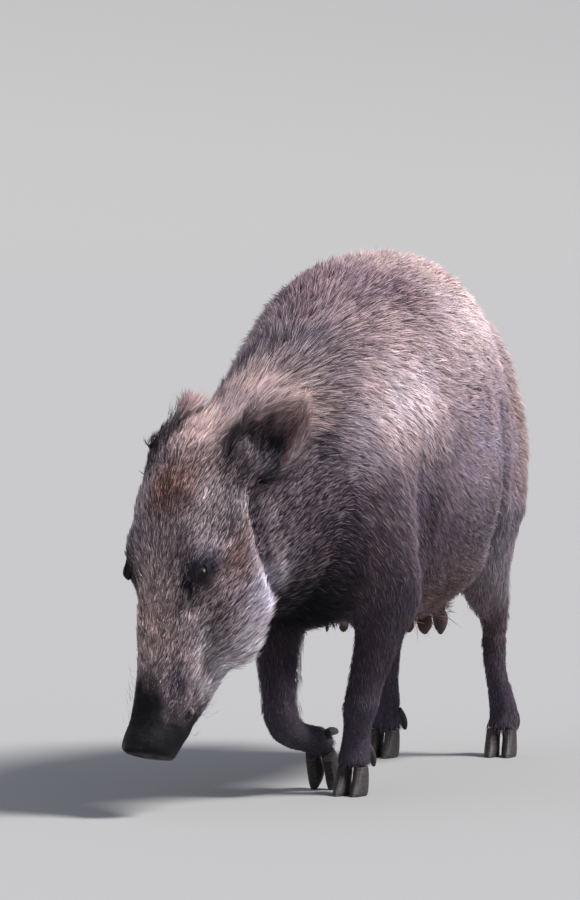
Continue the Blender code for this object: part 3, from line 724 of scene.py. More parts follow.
# The ways that each ear's hollow faces and that its tip points, in the head's frame.
EAR_OPENS = {"ear_left": (0.78, -0.05, 0.62), "ear_right": (-0.78, -0.05, 0.62)}
EAR_LIFT = {"ear_left": (0.36, -0.86, -0.36), "ear_right": (-0.14, -0.82, -0.54)}


def in_muzzle(points):
    """1 on the black of the muzzle, which starts higher along the bridge of the nose."""
    head = folded_head(points)
    edge = MUZZLE_EDGE - MUZZLE_RISE * fall(head[:, 0], 0.012, 0.032) + 0.010 * noise(points, 0.010, 4)
    inside = ramp(head[:, 1] - edge, -0.030, 0.014)
    return inside * fall(head[:, 1], HEAD_REACH, 0.50) * fall(np.abs(head[:, 2]), 0.12, 0.16)


def markings(points, base):
    """The coat's colour at each point, from its region's own and the patches that lie over it."""
    colour = base.copy()
    wander = np.stack([noise(points, 0.035, seed) for seed in (1, 2, 3)], axis=1)
    sets = ((BODY_PATCHES, folded(points), BODY_SWAY), (HEAD_PATCHES, folded_head(points), HEAD_SWAY))
    for patches, places, sway in sets:
        for patch in patches:
            share = np.minimum(patch.strength * near(places + wander * sway, patch.middle, patch.reach), 1)
            colour += (patch.colour - colour) * share[:, None]
    return colour + (SNOUT_BLACK - colour) * in_muzzle(points)[:, None]


def ear_axes(node):
    """Unit ways up the ear, across it to its back rim, and out of its hollow."""
    opens = unit(np.array(EAR_OPENS[node])) @ HEAD_AXES
    lift = np.array(EAR_LIFT[node]) @ HEAD_AXES
    lift = unit(lift - opens * (lift @ opens))
    back = np.cross(lift, opens)
    return lift, back * -np.sign(back @ SNOUTWARD), opens


def on_ear(node, points, normals):
    """0 at the ear's root to 1 at its tip, -1 at its front rim to 1 at its back one, and 1 in its hollow."""
    lift, back, opens = ear_axes(node)
    spans = []
    for axis in (lift, back):
        reach = points @ axis
        low, high = np.quantile(reach, (0.01, 0.99))
        spans.append((reach - low) / (high - low))
    return spans[0], 2 * spans[1] - 1, ramp(normals @ opens, 0.05, 0.45)


def ear_colours(colour, points, normals, labels):
    """Near-black painted shade deep in the hollow, reddish fur round its back and tip, and a pale fringe
    along its front.
    """
    for node in EAR_OPENS:
        chosen = labels == FLESH.index(node)
        up, back, hollow = on_ear(node, points[chosen], normals[chosen])
        inner = 1 - ramp(0.5 * up - 0.35 * back, 0.36, 0.54)
        lower = 1 - ramp(up + 0.3 * back, 0.36, 0.74)
        # painted shade, deepest in the hollow towards the ear's root
        dark = hollow * inner * lower
        fringe = fall(back, -0.98, -0.80) * fall(up, 0.60, 0.85)
        own = colour[chosen] + (EAR_FRINGE - colour[chosen]) * 0.6 * fringe[:, None]
        colour[chosen] = own + (EAR_HOLLOW_SHADE - own) * dark[:, None]
    return colour


# --- Eyes, hooves, dewclaws and tusks ---
CORNEA_REACH = 0.62          # radians from the gaze
CORNEA_RISE = 0.0007
BALL_CLEARANCE = 0.0002      # how far the ball lies inside its solid


def eyeball(node, side):
    """A ball with a bulging cornea, and at each point its angle from the gaze."""
    centre, gaze, _, _ = eye_axes(side)
    ball = bmesh.new()
    bmesh.ops.create_uvsphere(ball, u_segments=48, v_segments=32, radius=EYE_RADIUS - BALL_CLEARANCE)
    data = bpy.data.meshes.new(node + "_ball")
    ball.to_mesh(data)
    ball.free()
    points = points_of(data)
    angle = np.arccos(np.clip(unit(points)[:, 2], -1, 1))
    points += unit(points) * (CORNEA_RISE * fall(angle, 0, CORNEA_REACH))[:, None]
    turn = Vector(gaze).to_track_quat("Z", "Y").to_matrix()
    move_points(data, points @ np.array(turn).T + centre)
    add_layer(data, "Gaze", "FLOAT", angle)
    data.shade_smooth()
    return link(node + "_ball", data)


# How rounded a horny solid's edges are, and how far apart and how high its growth rings stand.
Horn = namedtuple("Horn", "bevel ring rise")
HOOF = Horn(0.0016, 0.0038, 0.00014)
TUSK = Horn(0.0006, 0.0030, 0.00005)


def horn_piece(node, horn):
    """A finely rounded copy of a horny solid, with growth rings round it."""
    solid = welded(node)
    data = bpy.data.meshes.new(node + "_fine")
    solid.to_mesh(data)
    solid.free()
    piece = link(node + "_fine", data)
    rounding = piece.modifiers.new("rounding", "BEVEL")
    rounding.width = horn.bevel
    rounding.segments = 2
    rounding.angle_limit = math.radians(35)
    smoothing = piece.modifiers.new("smoothing", "SUBSURF")
    smoothing.levels = smoothing.render_levels = 2
    settled(piece)
    points, normals = points_of(piece.data), normals_of(piece.data)
    wander = 0.0012 * noise(points, 0.012, 41)
    rings = np.sin((points[:, 2] + wander) * 2 * math.pi / horn.ring)
    sides = fall(np.abs(normals[:, 2]), 0.5, 0.9)
    raised = horn.rise * (rings * sides + 0.6 * noise(points, 0.004, 42))
    move_points(piece.data, points + normals * raised[:, None])
    piece.data.shade_smooth()
    return piece


# --- The lie of the coat ---
def way_at(node, points):
    """Which way the hair lies at points of one flesh node, before it is laid along the skin."""
    body, head = to_body(points), to_head(points)
    side = np.sign(body[:, 0])
    still = np.zeros(len(points))
    if node == "trunk":    # rearwards, and down at the shoulders and the rump
        flank = ramp(np.abs(body[:, 0]), 0.03, 0.15)
        down = 0.25 + 0.75 * fall(body[:, 1], -0.25, -0.05) + 1.6 * ramp(body[:, 1], 0.22, 0.38)
        return np.stack([0.15 * side, still + 1, -down * flank], axis=1)
    if node == "neck":     # towards the shoulders, and down at the sides
        sides = ramp(np.abs(head[:, 0]), 0.03, 0.09)
        return np.stack([0.35 - 0.25 * sides, still + 0.9, 0.5 - 0.9 * sides], axis=1)
    if node in ("head", "lower_jaw", "snout"):    # from the snout to the poll, and down at the cheeks
        cheek = fall(head[:, 2], -0.05, 0.03)
        way = np.stack([0.35 * np.sign(head[:, 0]) * (1 - cheek), still - 1, -0.55 * cheek], axis=1)
        return way @ HEAD_AXES
    if node in EAR_LIFT:   # towards the tip, spreading to both rims
        lift, back, _ = ear_axes(node)
        reach = points @ back
        across = (reach - reach.mean()) / np.ptp(reach)
        return lift + 1.3 * across[:, None] * back
    if node == "foreleg_right_lower":    # down the lifted leg, which is folded back
        back = fall(body[:, 1], -0.245, -0.215)
        return np.stack([still + 0.05, 0.35 + 0.65 * back, -0.9 + 0.5 * back], axis=1)
    return np.stack([still, still + 0.25 * (not node.endswith("_lower")), still - 1], axis=1)


def lie_of_coat(points, normals, edges, labels):
    """Unit ways along the skin, turning smoothly from one region to the next."""
    ways = np.zeros_like(points)
    for index, node in enumerate(FLESH):
        chosen = labels == index
        ways[chosen] = unit(way_at(node, points[chosen]))
    for _ in range(8):
        ways = unit(ways - normals * (ways * normals).sum(axis=1)[:, None])
        ways = relaxed(ways, edges, 10)
    return unit(ways - normals * (ways * normals).sum(axis=1)[:, None])


# --- The coat ---
# Each region's tufts: length and width, how far they stand off the skin in degrees, how many to the
# square metre, what share of them is pale at the tip, and how much they differ in shade.
Coat = namedtuple("Coat", "length width lift density pale grain")
COATS = {
    "trunk": Coat(0.018, 0.0008, 11, 150e3, 0.24, 1.2),
    "neck": Coat(0.021, 0.0007, 12, 205e3, 0.20, 1.0),
    "head": Coat(0.012, 0.0008, 14, 280e3, 0.42, 2.2),
    "lower_jaw": Coat(0.016, 0.0008, 16, 215e3, 0.50, 1.7),
    "snout": Coat(0.005, 0.0006, 12, 110e3, 0.00, 1.2),
    "ear": Coat(0.015, 0.0007, 18, 320e3, 0.03, 0.9),
    "tail": Coat(0.024, 0.0012, 14, 110e3, 0.15, 1.0),
    "upper": Coat(0.015, 0.0009, 13, 115e3, 0.00, 0.8),
    "lower": Coat(0.010, 0.0008, 11, 140e3, 0.00, 0.7),
}
PALE_BASE = 0.12             # on a coat darker than this the pale tips are darker too
WHISKER = Coat(0.024, 0.0005, 42, 0, 0.30, 0.8)
CLUMP_SHARE = 1 / 13         # clumps to tufts
MOST_TUFTS = 33000           # in one piece
SEED = 1618
PATCH = 0.003                # a tuft's share of its piece's map
BURIED = 0.0012              # how deep a tuft's root lies under the skin, at most
ROOT_SHADE = 0.35
# the skin's darkening under the tufts is painted shade among the hairs
SKIN_SHADE = 0.60            # the skin between the tufts is this much darker than they are
GUIDE_FACES = 4500           # sets how coarse the copy of the skin is that is unwrapped


def clumped(roots, chance):
    """The way from each root to the middle of its clump, its clump's random draws and its own."""
    count = len(roots)
    clumps = chance.choice(count, max(int(count * CLUMP_SHARE), 1), replace=False)
    tree = KDTree(len(clumps))
    for order, index in enumerate(clumps):
        tree.insert(roots[index], order)
    tree.balance()
    own = np.array([tree.find(root)[1] for root in roots.tolist()])
    clump_draw = chance.normal(size=(len(clumps), 4))[own]
    return roots[clumps][own] - roots, clump_draw, chance.normal(size=(count, 5))


def tuft_shapes(roots, ways, outs, coat, to_clump, clump_draw, draw):
    """The five points of every tuft, root to tip, and the ways that they face."""
    length, width, lift = coat.T[:3]
    turn = 0.22 * noise(roots, 0.080, 11) + 0.10 * clump_draw[:, 0] + 0.08 * draw[:, 0]
    across = np.cross(outs, ways)
    ways = ways * np.cos(turn)[:, None] + across * np.sin(turn)[:, None]
    across = np.cross(outs, ways)
    lift = np.radians(lift * (1 + 0.20 * clump_draw[:, 1] + 0.25 * draw[:, 1]))
    long = length * np.clip(1 + 0.12 * clump_draw[:, 2] + 0.16 * draw[:, 2], 0.5, 1.5)
    wide = width * np.clip(1 + 0.20 * draw[:, 3], 0.5, 1.6)
    sideways = to_clump - ways * (to_clump * ways).sum(axis=1)[:, None]

    def raised_by(angle):
        return ways * np.cos(angle)[:, None] + outs * np.sin(angle)[:, None]

    buried = roots - outs * np.minimum(BURIED, 0.1 * long)[:, None]
    middle = buried + raised_by(lift * 1.7) * (0.42 * long)[:, None] + 0.15 * sideways
    tip = middle + raised_by(lift * 0.55) * (0.58 * long)[:, None] + 0.28 * sideways
    half = 0.5 * wide[:, None]
    points = np.stack(
        [buried, middle - across * half, middle + across * half, middle + outs * half * 0.9, tip], axis=1
    )
    facing = np.stack([outs, unit(outs - across), unit(outs + across), outs, unit(outs + 0.3 * ways)], axis=1)
    return points, facing


def tuft_shades(roots, coat, colour, clump_draw, draw, chance):
    """The colours of every tuft's five points: dark at the root, and pale at the tip of some."""
    pale_share, grain = coat.T[4:]
    pale = chance.random(len(roots)) < pale_share * (1 + 0.5 * noise(roots, 0.022, 12))
    mottle = noise(roots, 0.045, 13) + 0.6 * noise(roots, 0.018, 14)
    depth = grain * (0.15 * clump_draw[:, 3] + 0.30 * draw[:, 4]) + 0.18 * mottle - 0.05 * grain**2
    warmth = np.outer(noise(roots, 0.030, 15), (0.06, 0.0, -0.08))
    shade = np.exp(depth[:, None] + warmth) * colour
    bright = colour.mean(axis=1, keepdims=True)
    paleness = (pale * (0.25 + 0.65 * chance.random(len(roots))))[:, None]
    paleness = paleness * (0.35 + 0.65 * np.minimum(bright / PALE_BASE, 1))
    pale_tip = np.minimum(HAIR_TIP * (0.65 + 0.35 * colour / bright), 1)
    tip = shade * 1.12 + (pale_tip - shade * 1.12) * paleness
    middle = shade + (pale_tip - shade) * 0.35 * paleness
    return np.stack([shade * ROOT_SHADE, middle, middle, middle, tip], axis=1)


# A tuft's points are its root, the two sides and the ridge of its middle, and its tip. These are its
# faces, and where its points lie on its patch of the map, in halves of the patch.
TUFT_FACES = np.array([(0, 1, 3), (0, 3, 2), (0, 2, 1), (4, 3, 1), (4, 2, 3), (4, 1, 2)])
TUFT_ON_MAP = np.array([(0, -1), (-1, -0.2), (1, -0.2), (0, 0.2), (0, 1)])


def add_tufts(name, roots, ways, outs, coat, colour, unwrap, chance):
    """One piece of coat: a curved, three-sided spindle of mesh at every root."""
    count = len(roots)
    to_clump, clump_draw, draw = clumped(roots, chance)
    points, facing = tuft_shapes(roots, ways, outs, coat, to_clump, clump_draw, draw)
    shades = tuft_shades(roots, coat, colour, clump_draw, draw, chance)
    corners = (TUFT_FACES[None] + 5 * np.arange(count)[:, None, None]).ravel()
    mesh = bpy.data.meshes.new(name)
    mesh.vertices.add(count * 5)
    mesh.vertices.foreach_set("co", points.astype(np.float32).ravel())
    mesh.loops.add(len(corners))
    mesh.loops.foreach_set("vertex_index", corners.astype(np.int32))
    mesh.polygons.add(count * 6)
    mesh.polygons.foreach_set("loop_start", np.arange(0, len(corners), 3, dtype=np.int32))
    mesh.update(calc_edges=True)
    mesh.shade_smooth()
    add_layer(mesh, "custom_normal", "FLOAT_VECTOR", facing)
    paint(mesh, shades.reshape(-1, 3))
    spots = TUFT_ON_MAP * PATCH / 2
    uv = (unwrap[:, None, :] + spots[None]).reshape(-1, 2)[corners]
    mesh.uv_layers.new(name="OFBake").data.foreach_set("uv", uv.astype(np.float32).ravel())
    return link(name, mesh)


def paint(mesh, colour):
    """The coat's colour at each point of the mesh."""
    add_layer(mesh, "Coat", "FLOAT_COLOR", np.c_[colour, np.ones(len(colour))])


RUMP_FROM = 0.12             # rearwards from the middle of the trunk
BACK_FROM = 0.60             # above the floor
BELLY_TO = 0.27


def piece_of_coat(points, labels):
    """The name of the coat piece that each point belongs to."""
    body = to_body(points)
    node = np.array(FLESH)[labels]
    left = np.where(body[:, 0] > 0, "left", "right")
    head_left = np.where(to_head(points)[:, 0] > 0, "left", "right")
    named = np.char.add("coat_flank_", left)
    rules = [
        (body[:, 1] > RUMP_FROM, "coat_rump"),
        (body[:, 2] > BACK_FROM, np.char.add("coat_back_", left)),
        (body[:, 2] < BELLY_TO, "coat_belly"),
        (node == "neck", "coat_neck"),
        (node == "head", np.char.add("coat_face_", head_left)),
        (np.isin(node, ("lower_jaw", "snout")), "coat_jaw"),
        (node == "tail", "coat_tail"),
        (np.char.startswith(node, "ear"), "coat_ears"),
        (np.char.startswith(node, "foreleg"), "coat_forelegs"),
        (np.char.startswith(node, "hindleg"), "coat_hindlegs"),
    ]
    for chosen, name in rules:
        named = np.where(chosen, name, named)
    return named


def scattered(mesh, density, chance):
    """Triangles and weights of roots spread over the mesh at so many to the square metre."""
    mesh.calc_loop_triangles()
    corners = read(mesh.loop_triangles, "vertices", 3, np.int32)
    points = points_of(mesh)
    sides = points[corners[:, 1:]] - points[corners[:, :1]]
    areas = np.linalg.norm(np.cross(sides[:, 0], sides[:, 1]), axis=1) / 2
    wanted = areas * density[corners].mean(axis=1)
    before = np.cumsum(wanted)
    count = int(before[-1])
    steps = (np.arange(count) + chance.random(count)) * before[-1] / count
    chosen = corners[np.minimum(np.searchsorted(before, steps), len(corners) - 1)]
    share = chance.random((count, 2))
    share = np.where(share.sum(axis=1)[:, None] > 1, 1 - share, share)
    return chosen, np.c_[1 - share.sum(axis=1), share]


def unwrapped(mesh, chosen_faces):
    """A tree over part of a coarse copy of the skin, and that part's corners and unwrap."""
    part = bmesh.new()
    part.from_mesh(mesh)
    part.faces.ensure_lookup_table()
    spare = [part.faces[index] for index in np.flatnonzero(~chosen_faces)]
    bmesh.ops.delete(part, geom=spare, context="FACES")
    data = bpy.data.meshes.new("unwrap")
    part.to_mesh(data)
    part.free()
    guide = link("unwrap", data)
    bpy.ops.object.select_all(action="DESELECT")
    guide.select_set(True)
    bpy.context.view_layer.objects.active = guide
    bpy.ops.object.mode_set(mode="EDIT")
    bpy.ops.mesh.select_all(action="SELECT")
    bpy.ops.uv.smart_project(angle_limit=math.radians(66), island_margin=0.01)
    bpy.ops.object.mode_set(mode="OBJECT")
    data.calc_loop_triangles()
    corners = read(data.loop_triangles, "vertices", 3, np.int32)
    points = points_of(data)
    flat = read(data.uv_layers.active.data, "uv", 2)[read(data.loop_triangles, "loops", 3, np.int32)]
    tree = BVHTree.FromPolygons([tuple(point) for point in points], corners.tolist())
    bpy.data.objects.remove(guide)
    return tree, points[corners], flat


def places_on_unwrap(roots, tree, triangles, flat):
    """Where each root falls on the unwrap."""
    found = [tree.find_nearest(root) for root in roots.tolist()]
    spots = np.array([hit[0] for hit in found])
    index = np.array([hit[2] for hit in found])
    origin, first, second = (triangles[index, k] for k in range(3))
    first, second, spots = first - origin, second - origin, spots - origin
    dots = {
        (a, b): (u * v).sum(axis=1)
        for (a, u), (b, v) in itertools.product((("f", first), ("s", second), ("p", spots)), repeat=2)
    }
    scale = np.maximum(dots["f", "f"] * dots["s", "s"] - dots["f", "s"] ** 2, 1e-14)
    along = (dots["s", "s"] * dots["p", "f"] - dots["f", "s"] * dots["p", "s"]) / scale
    across = (dots["f", "f"] * dots["p", "s"] - dots["f", "s"] * dots["p", "f"]) / scale
    weights = np.stack([1 - along - across, along, across], axis=1)
    return (flat[index] * weights[:, :, None]).sum(axis=1)


def coarse_copy(skin):
    """A copy of the skin with few triangles, to unwrap."""
    guide = link("guide", skin.data.copy())
    thinner = guide.modifiers.new("thin_out", "DECIMATE")
    thinner.ratio = GUIDE_FACES / len(skin.data.polygons)
    return settled(guide)


# Places where few hairs are pale, and the lips, where whiskers stand: centres and radii in the head's frame.
BROWN_SPOTS = (((0.086, 0.122, -0.012), (0.018, 0.040, 0.020)), ((0.0, 0.045, 0.055), (0.035, 0.035, 0.035)))
EAR_BASES = (((0.080, -0.025, 0.0), (0.030, 0.045, 0.030)), ((0.058, -0.045, 0.012), (0.026, 0.026, 0.026)))
LIPS = (((0.034, 0.330, -0.020), (0.030, 0.045, 0.045)), ((0.025, 0.300, -0.065), (0.03, 0.05, 0.02)))
LONG_COAT = 0.015
WHISKER_SHARE = 0.035        # whiskers to tufts on the lips
CORONET_REACH = (0.022, 0.024, 0.014)
HEAD_END = 0.395             # poll to the front of the snout disc
# How far behind the middle of the trunk the teats stand on each side, and their reach.
TEATS = {1: (0.165, 0.085, 0.005, -0.080), -1: (0.135, 0.055, -0.025, -0.105)}
TEAT_OUT = 0.044
TEAT_HEIGHT = 0.205
TEAT_REACH = (0.016, 0.016, 0.020)


def coat_rows(points, normals, edges, labels):
    """Each point's Coat row: its region's own, changed by place."""
    rows = regional(labels, edges, COATS, rounds=40)
    length, width, lift, density, pale, grain = rows.T    # views, so changing them changes the rows
    body, head = to_body(points), folded_head(points)
    mane = near(body, (-0.02, -0.36, 0.64), (0.06, 0.24, 0.12))
    back = ramp(body[:, 2], 0.48, 0.66)
    rump = ramp(body[:, 1], 0.15, 0.30) * ramp(body[:, 2], 0.35, 0.55)
    belly = fall(body[:, 2], 0.25, 0.30) * (length > LONG_COAT)
    chest = near(body, (0.0, -0.38, 0.27), (0.14, 0.14, 0.09))
    udder = near(body, (0.0, 0.10, 0.215), (0.09, 0.13, 0.035))
    udder = np.maximum(udder, 0.8 * near(body, (0.0, -0.09, 0.220), (0.09, 0.07, 0.035)))
    flank = (labels == FLESH.index("trunk")) * (1 - back) * (1 - rump)
    eyes = near(head, EYE_PLACE, (0.024, 0.026, 0.024))
    crown = near(head, (0.0, -0.06, 0.01), (0.05, 0.05, 0.05))
    temple = near(head, (0.050, 0.040, 0.045), (0.020, 0.060, 0.030))
    jowl = near(head, (0.070, 0.190, -0.075), (0.035, 0.075, 0.035))
    face_front = ramp(head[:, 1], 0.24, 0.34) * fall(head[:, 1], HEAD_REACH, 0.50)
    black = in_muzzle(points)
    length *= 1 + 0.40 * back + 0.30 * mane + 0.30 * rump + 0.5 * crown + 0.45 * jowl
    length *= (1 - 0.60 * eyes) * (1 - 0.50 * face_front) * (1 - 0.4 * black)
    length *= 1 + 0.9 * udder
    width *= (1 - 0.35 * eyes) * (1 - 0.25 * face_front)
    lift += 4 * mane + 9 * rump + 6 * back + 10 * crown + 5 * temple + 4 * jowl
    lift += 20 * udder
    density *= 1 - 0.25 * belly
    kept = (1 + 0.9 * back - 0.5 * flank) * (1 - black) * (1 - 0.8 * eyes)
    pale *= kept * (1 - chest) * (1 - 0.4 * crown)
    # the temples' extra pale tips are silver hair and painted light on the face's edge
    pale += 0.35 * jowl + 0.38 * temple
    pale *= 1 - 0.7 * np.minimum(near_any(head, BROWN_SPOTS), 1)
    pale *= 1 - 0.75 * np.minimum(near_any(head, EAR_BASES), 1)
    grain *= (1 - 0.45 * flank) * (1 - 0.2 * crown)
    lengthen_on_ears(rows, points, normals, labels)
    lengthen_on_legs(rows, points, normals, labels)
    return rows


def lengthen_on_ears(rows, points, normals, labels):
    """A fringe of longer hair along the rims of the ears."""
    for node in EAR_OPENS:
        chosen = labels == FLESH.index(node)
        up, back, _ = on_ear(node, points[chosen], normals[chosen])
        rim = np.clip(np.hypot(1.6 * up - 0.8, back), 0, 1) ** 3 * ramp(up, 0.2, 0.5)
        rows[chosen, 0] *= 1 + 1.1 * rim
        rows[chosen, 2] += 12 * rim
    far = labels == FLESH.index("ear_right")
    rows[far, 0] *= 1.1
    rows[far, 2] += 4


def lengthen_on_legs(rows, points, normals, labels):
    """Longer hair behind the lifted foreleg, and over the top of each hoof."""
    body = to_body(points)
    fringe = np.isin(labels, [FLESH.index("foreleg_right_upper"), FLESH.index("foreleg_right_lower")])
    fringe = fringe * ramp(normals[:, 1], 0.1, 0.6)
    fringe = fringe * ramp(body[:, 2], 0.07, 0.11) * fall(body[:, 2], 0.26, 0.32)
    coronet = np.zeros(len(points))
    for hoof in sorted(node for node in NODES if node.startswith("hoof")):
        low, high = (np.array(corner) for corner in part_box(hoof))
        top = (*(low + high)[:2] / 2, high[2])
        coronet = np.maximum(coronet, near(points, top, CORONET_REACH))
    rows[:, 0] *= 1 + 0.8 * fringe
    rows[:, 2] += 14 * fringe
    rows[:, 4] += 0.15 * fringe
    rows[:, 0] *= 1 + 0.9 * coronet
    rows[:, 2] += 8 * coronet


def bareness(points, labels):
    """1 where no hair grows: on the teats, over the eyeballs and on the disc of the snout."""
    body, head = to_body(points), folded_head(points)
    bare = np.linalg.norm(head - EYE_PLACE, axis=1) < EYE_RADIUS + 0.004
    for side, places in TEATS.items():
        for rearward in places:
            teat = near(body, (side * TEAT_OUT, rearward, TEAT_HEIGHT), TEAT_REACH)
            bare = np.maximum(bare, teat > 0.3)
    disc = ramp(head[:, 1], HEAD_END - 0.016, HEAD_END - 0.008) * (labels == FLESH.index("snout"))
    return np.maximum(bare, disc)


def moistness(points, bare):
    """How much the skin shines, at most on bare skin and the black of the muzzle, and not round the eyes."""
    eyes = near(folded_head(points), EYE_PLACE, (0.030, 0.030, 0.030))
    return np.maximum(bare, 0.8 * in_muzzle(points)) * (1 - eyes)


def coat_colours(points, normals, edges, labels):
    """The coat's colour at each point."""
    base = regional(labels, edges, REGION_COLOURS, rounds=40)
    return ear_colours(markings(points, base), points, normals, labels)


def grow_coat(skin):
    """The tufts of the whole body, as a list of pieces."""
    chance = np.random.default_rng(SEED)
    mesh = skin.data
    points, normals, edges = points_of(mesh), normals_of(mesh), edges_of(mesh)
    labels = nodes_nearest(points)
    ways = lie_of_coat(points, normals, edges, labels)
    rows = coat_rows(points, normals, edges, labels)
    bare = bareness(points, labels)
    rows[:, 3] *= 1 - bare
    add_layer(mesh, "Bare", "FLOAT", moistness(points, bare))
    colours = coat_colours(points, normals, edges, labels)
    # the skin under the tufts is painted darker, as shade among the hairs
    paint(mesh, colours * SKIN_SHADE)
    add_layer(mesh, "Lie", "FLOAT_VECTOR", ways)
    chosen, weights = scattered(mesh, rows[:, 3], chance)

    def at_roots(values):
        return (values[chosen] * weights[:, :, None]).sum(axis=1)

    roots, outs = at_roots(points), unit(at_roots(normals))
    lies, coats, shades = unit(at_roots(ways)), at_roots(rows), at_roots(colours)
    whiskers = chance.random(len(roots)) < WHISKER_SHARE * near_any(folded_head(roots), LIPS)
    coats[whiskers] = WHISKER
    names = piece_of_coat(roots, labels[chosen[:, 0]])
    guide = coarse_copy(skin)
    middles = read(guide.data.polygons, "center", 3).astype(float)
    face_names = piece_of_coat(middles, nodes_nearest(middles))
    made = []
    for name in sorted(set(names.tolist())):
        own = np.flatnonzero(names == name)[:MOST_TUFTS]
        unwrap = places_on_unwrap(roots[own], *unwrapped(guide.data, face_names == name))
        piece = add_tufts(name, roots[own], lies[own], outs[own], coats[own], shades[own], unwrap, chance)
        made.append(piece)
    bpy.data.objects.remove(guide)
    return made


# --- Materials ---
def new_material(name, roughness, specular=0.5):
    """A Principled material, with its shader and its node tree."""
    made = bpy.data.materials.new(name)
    made.use_nodes = True
    shader = made.node_tree.nodes["Principled BSDF"]
    shader.inputs["Roughness"].default_value = roughness
    shader.inputs["Specular IOR Level"].default_value = specular
    return made, shader, made.node_tree


def add_node(tree, kind, inputs=(), **settings):
    """A new shader node: its settings, and each input's number or the socket that feeds it."""
    made = tree.nodes.new("ShaderNode" + kind)
    for setting, value in settings.items():
        setattr(made, setting, value)
    for field, value in dict(inputs).items():
        if isinstance(value, bpy.types.NodeSocket):
            tree.links.new(value, made.inputs[field])
        else:
            made.inputs[field].default_value = value
    return made


def shaded(tree, amount, shades):
    """The colour that a ramp of shades gives each amount."""
    made = add_node(tree, "ValToRGB", {"Fac": amount})
    for position, _ in shades[1:-1]:
        made.color_ramp.elements.new(position)
    for element, (position, colour) in zip(made.color_ramp.elements, shades):
        element.position = position
        element.color = (*colour, 1)
    return made.outputs["Color"]


def coat_material():
    made, shader, tree = new_material("coat_hair", 0.60, 0.12)
    colour = add_node(tree, "Attribute", attribute_name="Coat")
    tree.links.new(colour.outputs["Color"], shader.inputs["Base Color"])
    return made


def streaks(tree, across, along):
    """Noise drawn out along the lie of the hair: its size across the hairs and along them."""
    place = add_node(tree, "TexCoord").outputs["Object"]
    lie = add_node(tree, "Attribute", attribute_name="Lie").outputs["Vector"]
    reach = add_node(tree, "VectorMath", {0: place, 1: lie}, operation="DOT_PRODUCT").outputs["Value"]
    shrink = add_node(tree, "Math", {0: reach, 1: across / along - 1}, operation="MULTIPLY").outputs["Value"]
    drawn = add_node(tree, "VectorMath", {0: lie, "Scale": shrink}, operation="SCALE").outputs["Vector"]
    total = add_node(tree, "VectorMath", {0: place, 1: drawn}, operation="ADD").outputs["Vector"]
    return add_node(tree, "TexNoise", {"Vector": total, "Scale": 1 / across, "Detail": 2}).outputs["Fac"]


UNDER_HAIR = (0.0013, 0.012)    # its streaks' size across the hairs and along them
SKIN_SHINE = (("Roughness", 0.65, 0.48), ("Specular IOR Level", 0.08, 0.16))    # under hair, and bare
PEBBLES = 420                # to the metre, on bare skin


def skin_material():
    """Short flat under-hair: the coat's colours broken by fine streaks, with a bump to match."""
    made, shader, tree = new_material("skin_under_coat", 0.65, 0.08)
    colour = add_node(tree, "Attribute", attribute_name="Coat").outputs["Color"]
    bare = add_node(tree, "Attribute", attribute_name="Bare").outputs["Fac"]
    hairs = streaks(tree, *UNDER_HAIR)
    contrast = {"Value": hairs, "From Min": 0.3, "From Max": 0.7, "To Min": 0.45, "To Max": 1.35}
    light = add_node(tree, "MapRange", contrast).outputs["Result"]
    streaked = add_node(tree, "VectorMath", {0: colour, "Scale": light}, operation="SCALE")
    tree.links.new(streaked.outputs["Vector"], shader.inputs["Base Color"])
    for field, hairy, naked in SKIN_SHINE:
        shine = add_node(tree, "MapRange", {"Value": bare, "To Min": hairy, "To Max": naked})
        tree.links.new(shine.outputs["Result"], shader.inputs[field])
    bump = add_node(tree, "Bump", {"Height": hairs, "Strength": 0.5, "Distance": 0.001}).outputs["Normal"]
    place = add_node(tree, "TexCoord").outputs["Object"]
    creases = add_node(tree, "TexVoronoi", {"Vector": place, "Scale": PEBBLES}, feature="DISTANCE_TO_EDGE")
    relief = {"Height": creases.outputs["Distance"], "Strength": bare, "Distance": 0.0006, "Normal": bump}
    tree.links.new(add_node(tree, "Bump", relief).outputs["Normal"], shader.inputs["Normal"])
    return made


def textured(name, roughness, specular, shades, scale, distance):
    """A material whose colour and fine relief both follow one stretched noise."""
    made, shader, tree = new_material(name, roughness, specular)
    place = add_node(tree, "TexCoord").outputs["Object"]
    stretched = add_node(tree, "Mapping", {"Vector": place, "Scale": scale}).outputs["Vector"]
    grain = add_node(tree, "TexNoise", {"Vector": stretched, "Scale": 1, "Detail": 6}).outputs["Fac"]
    tree.links.new(shaded(tree, grain, shades), shader.inputs["Base Color"])
    bump = add_node(tree, "Bump", {"Height": grain, "Strength": 0.6, "Distance": distance})
    tree.links.new(bump.outputs["Normal"], shader.inputs["Normal"])
    return made


EYE_SHADES = [
    (0.28, (0.003, 0.002, 0.003)),
    (0.36, (0.013, 0.008, 0.008)),
    (0.66, (0.024, 0.014, 0.012)),
    (0.78, (0.010, 0.007, 0.009)),
    (1.00, (0.030, 0.022, 0.024)),
]
HORN_SHADES = [(0.35, (0.016, 0.014, 0.015)), (0.70, (0.060, 0.050, 0.048))]
IVORY_SHADES = [(0.30, (0.12, 0.095, 0.07)), (0.70, (0.30, 0.25, 0.19))]


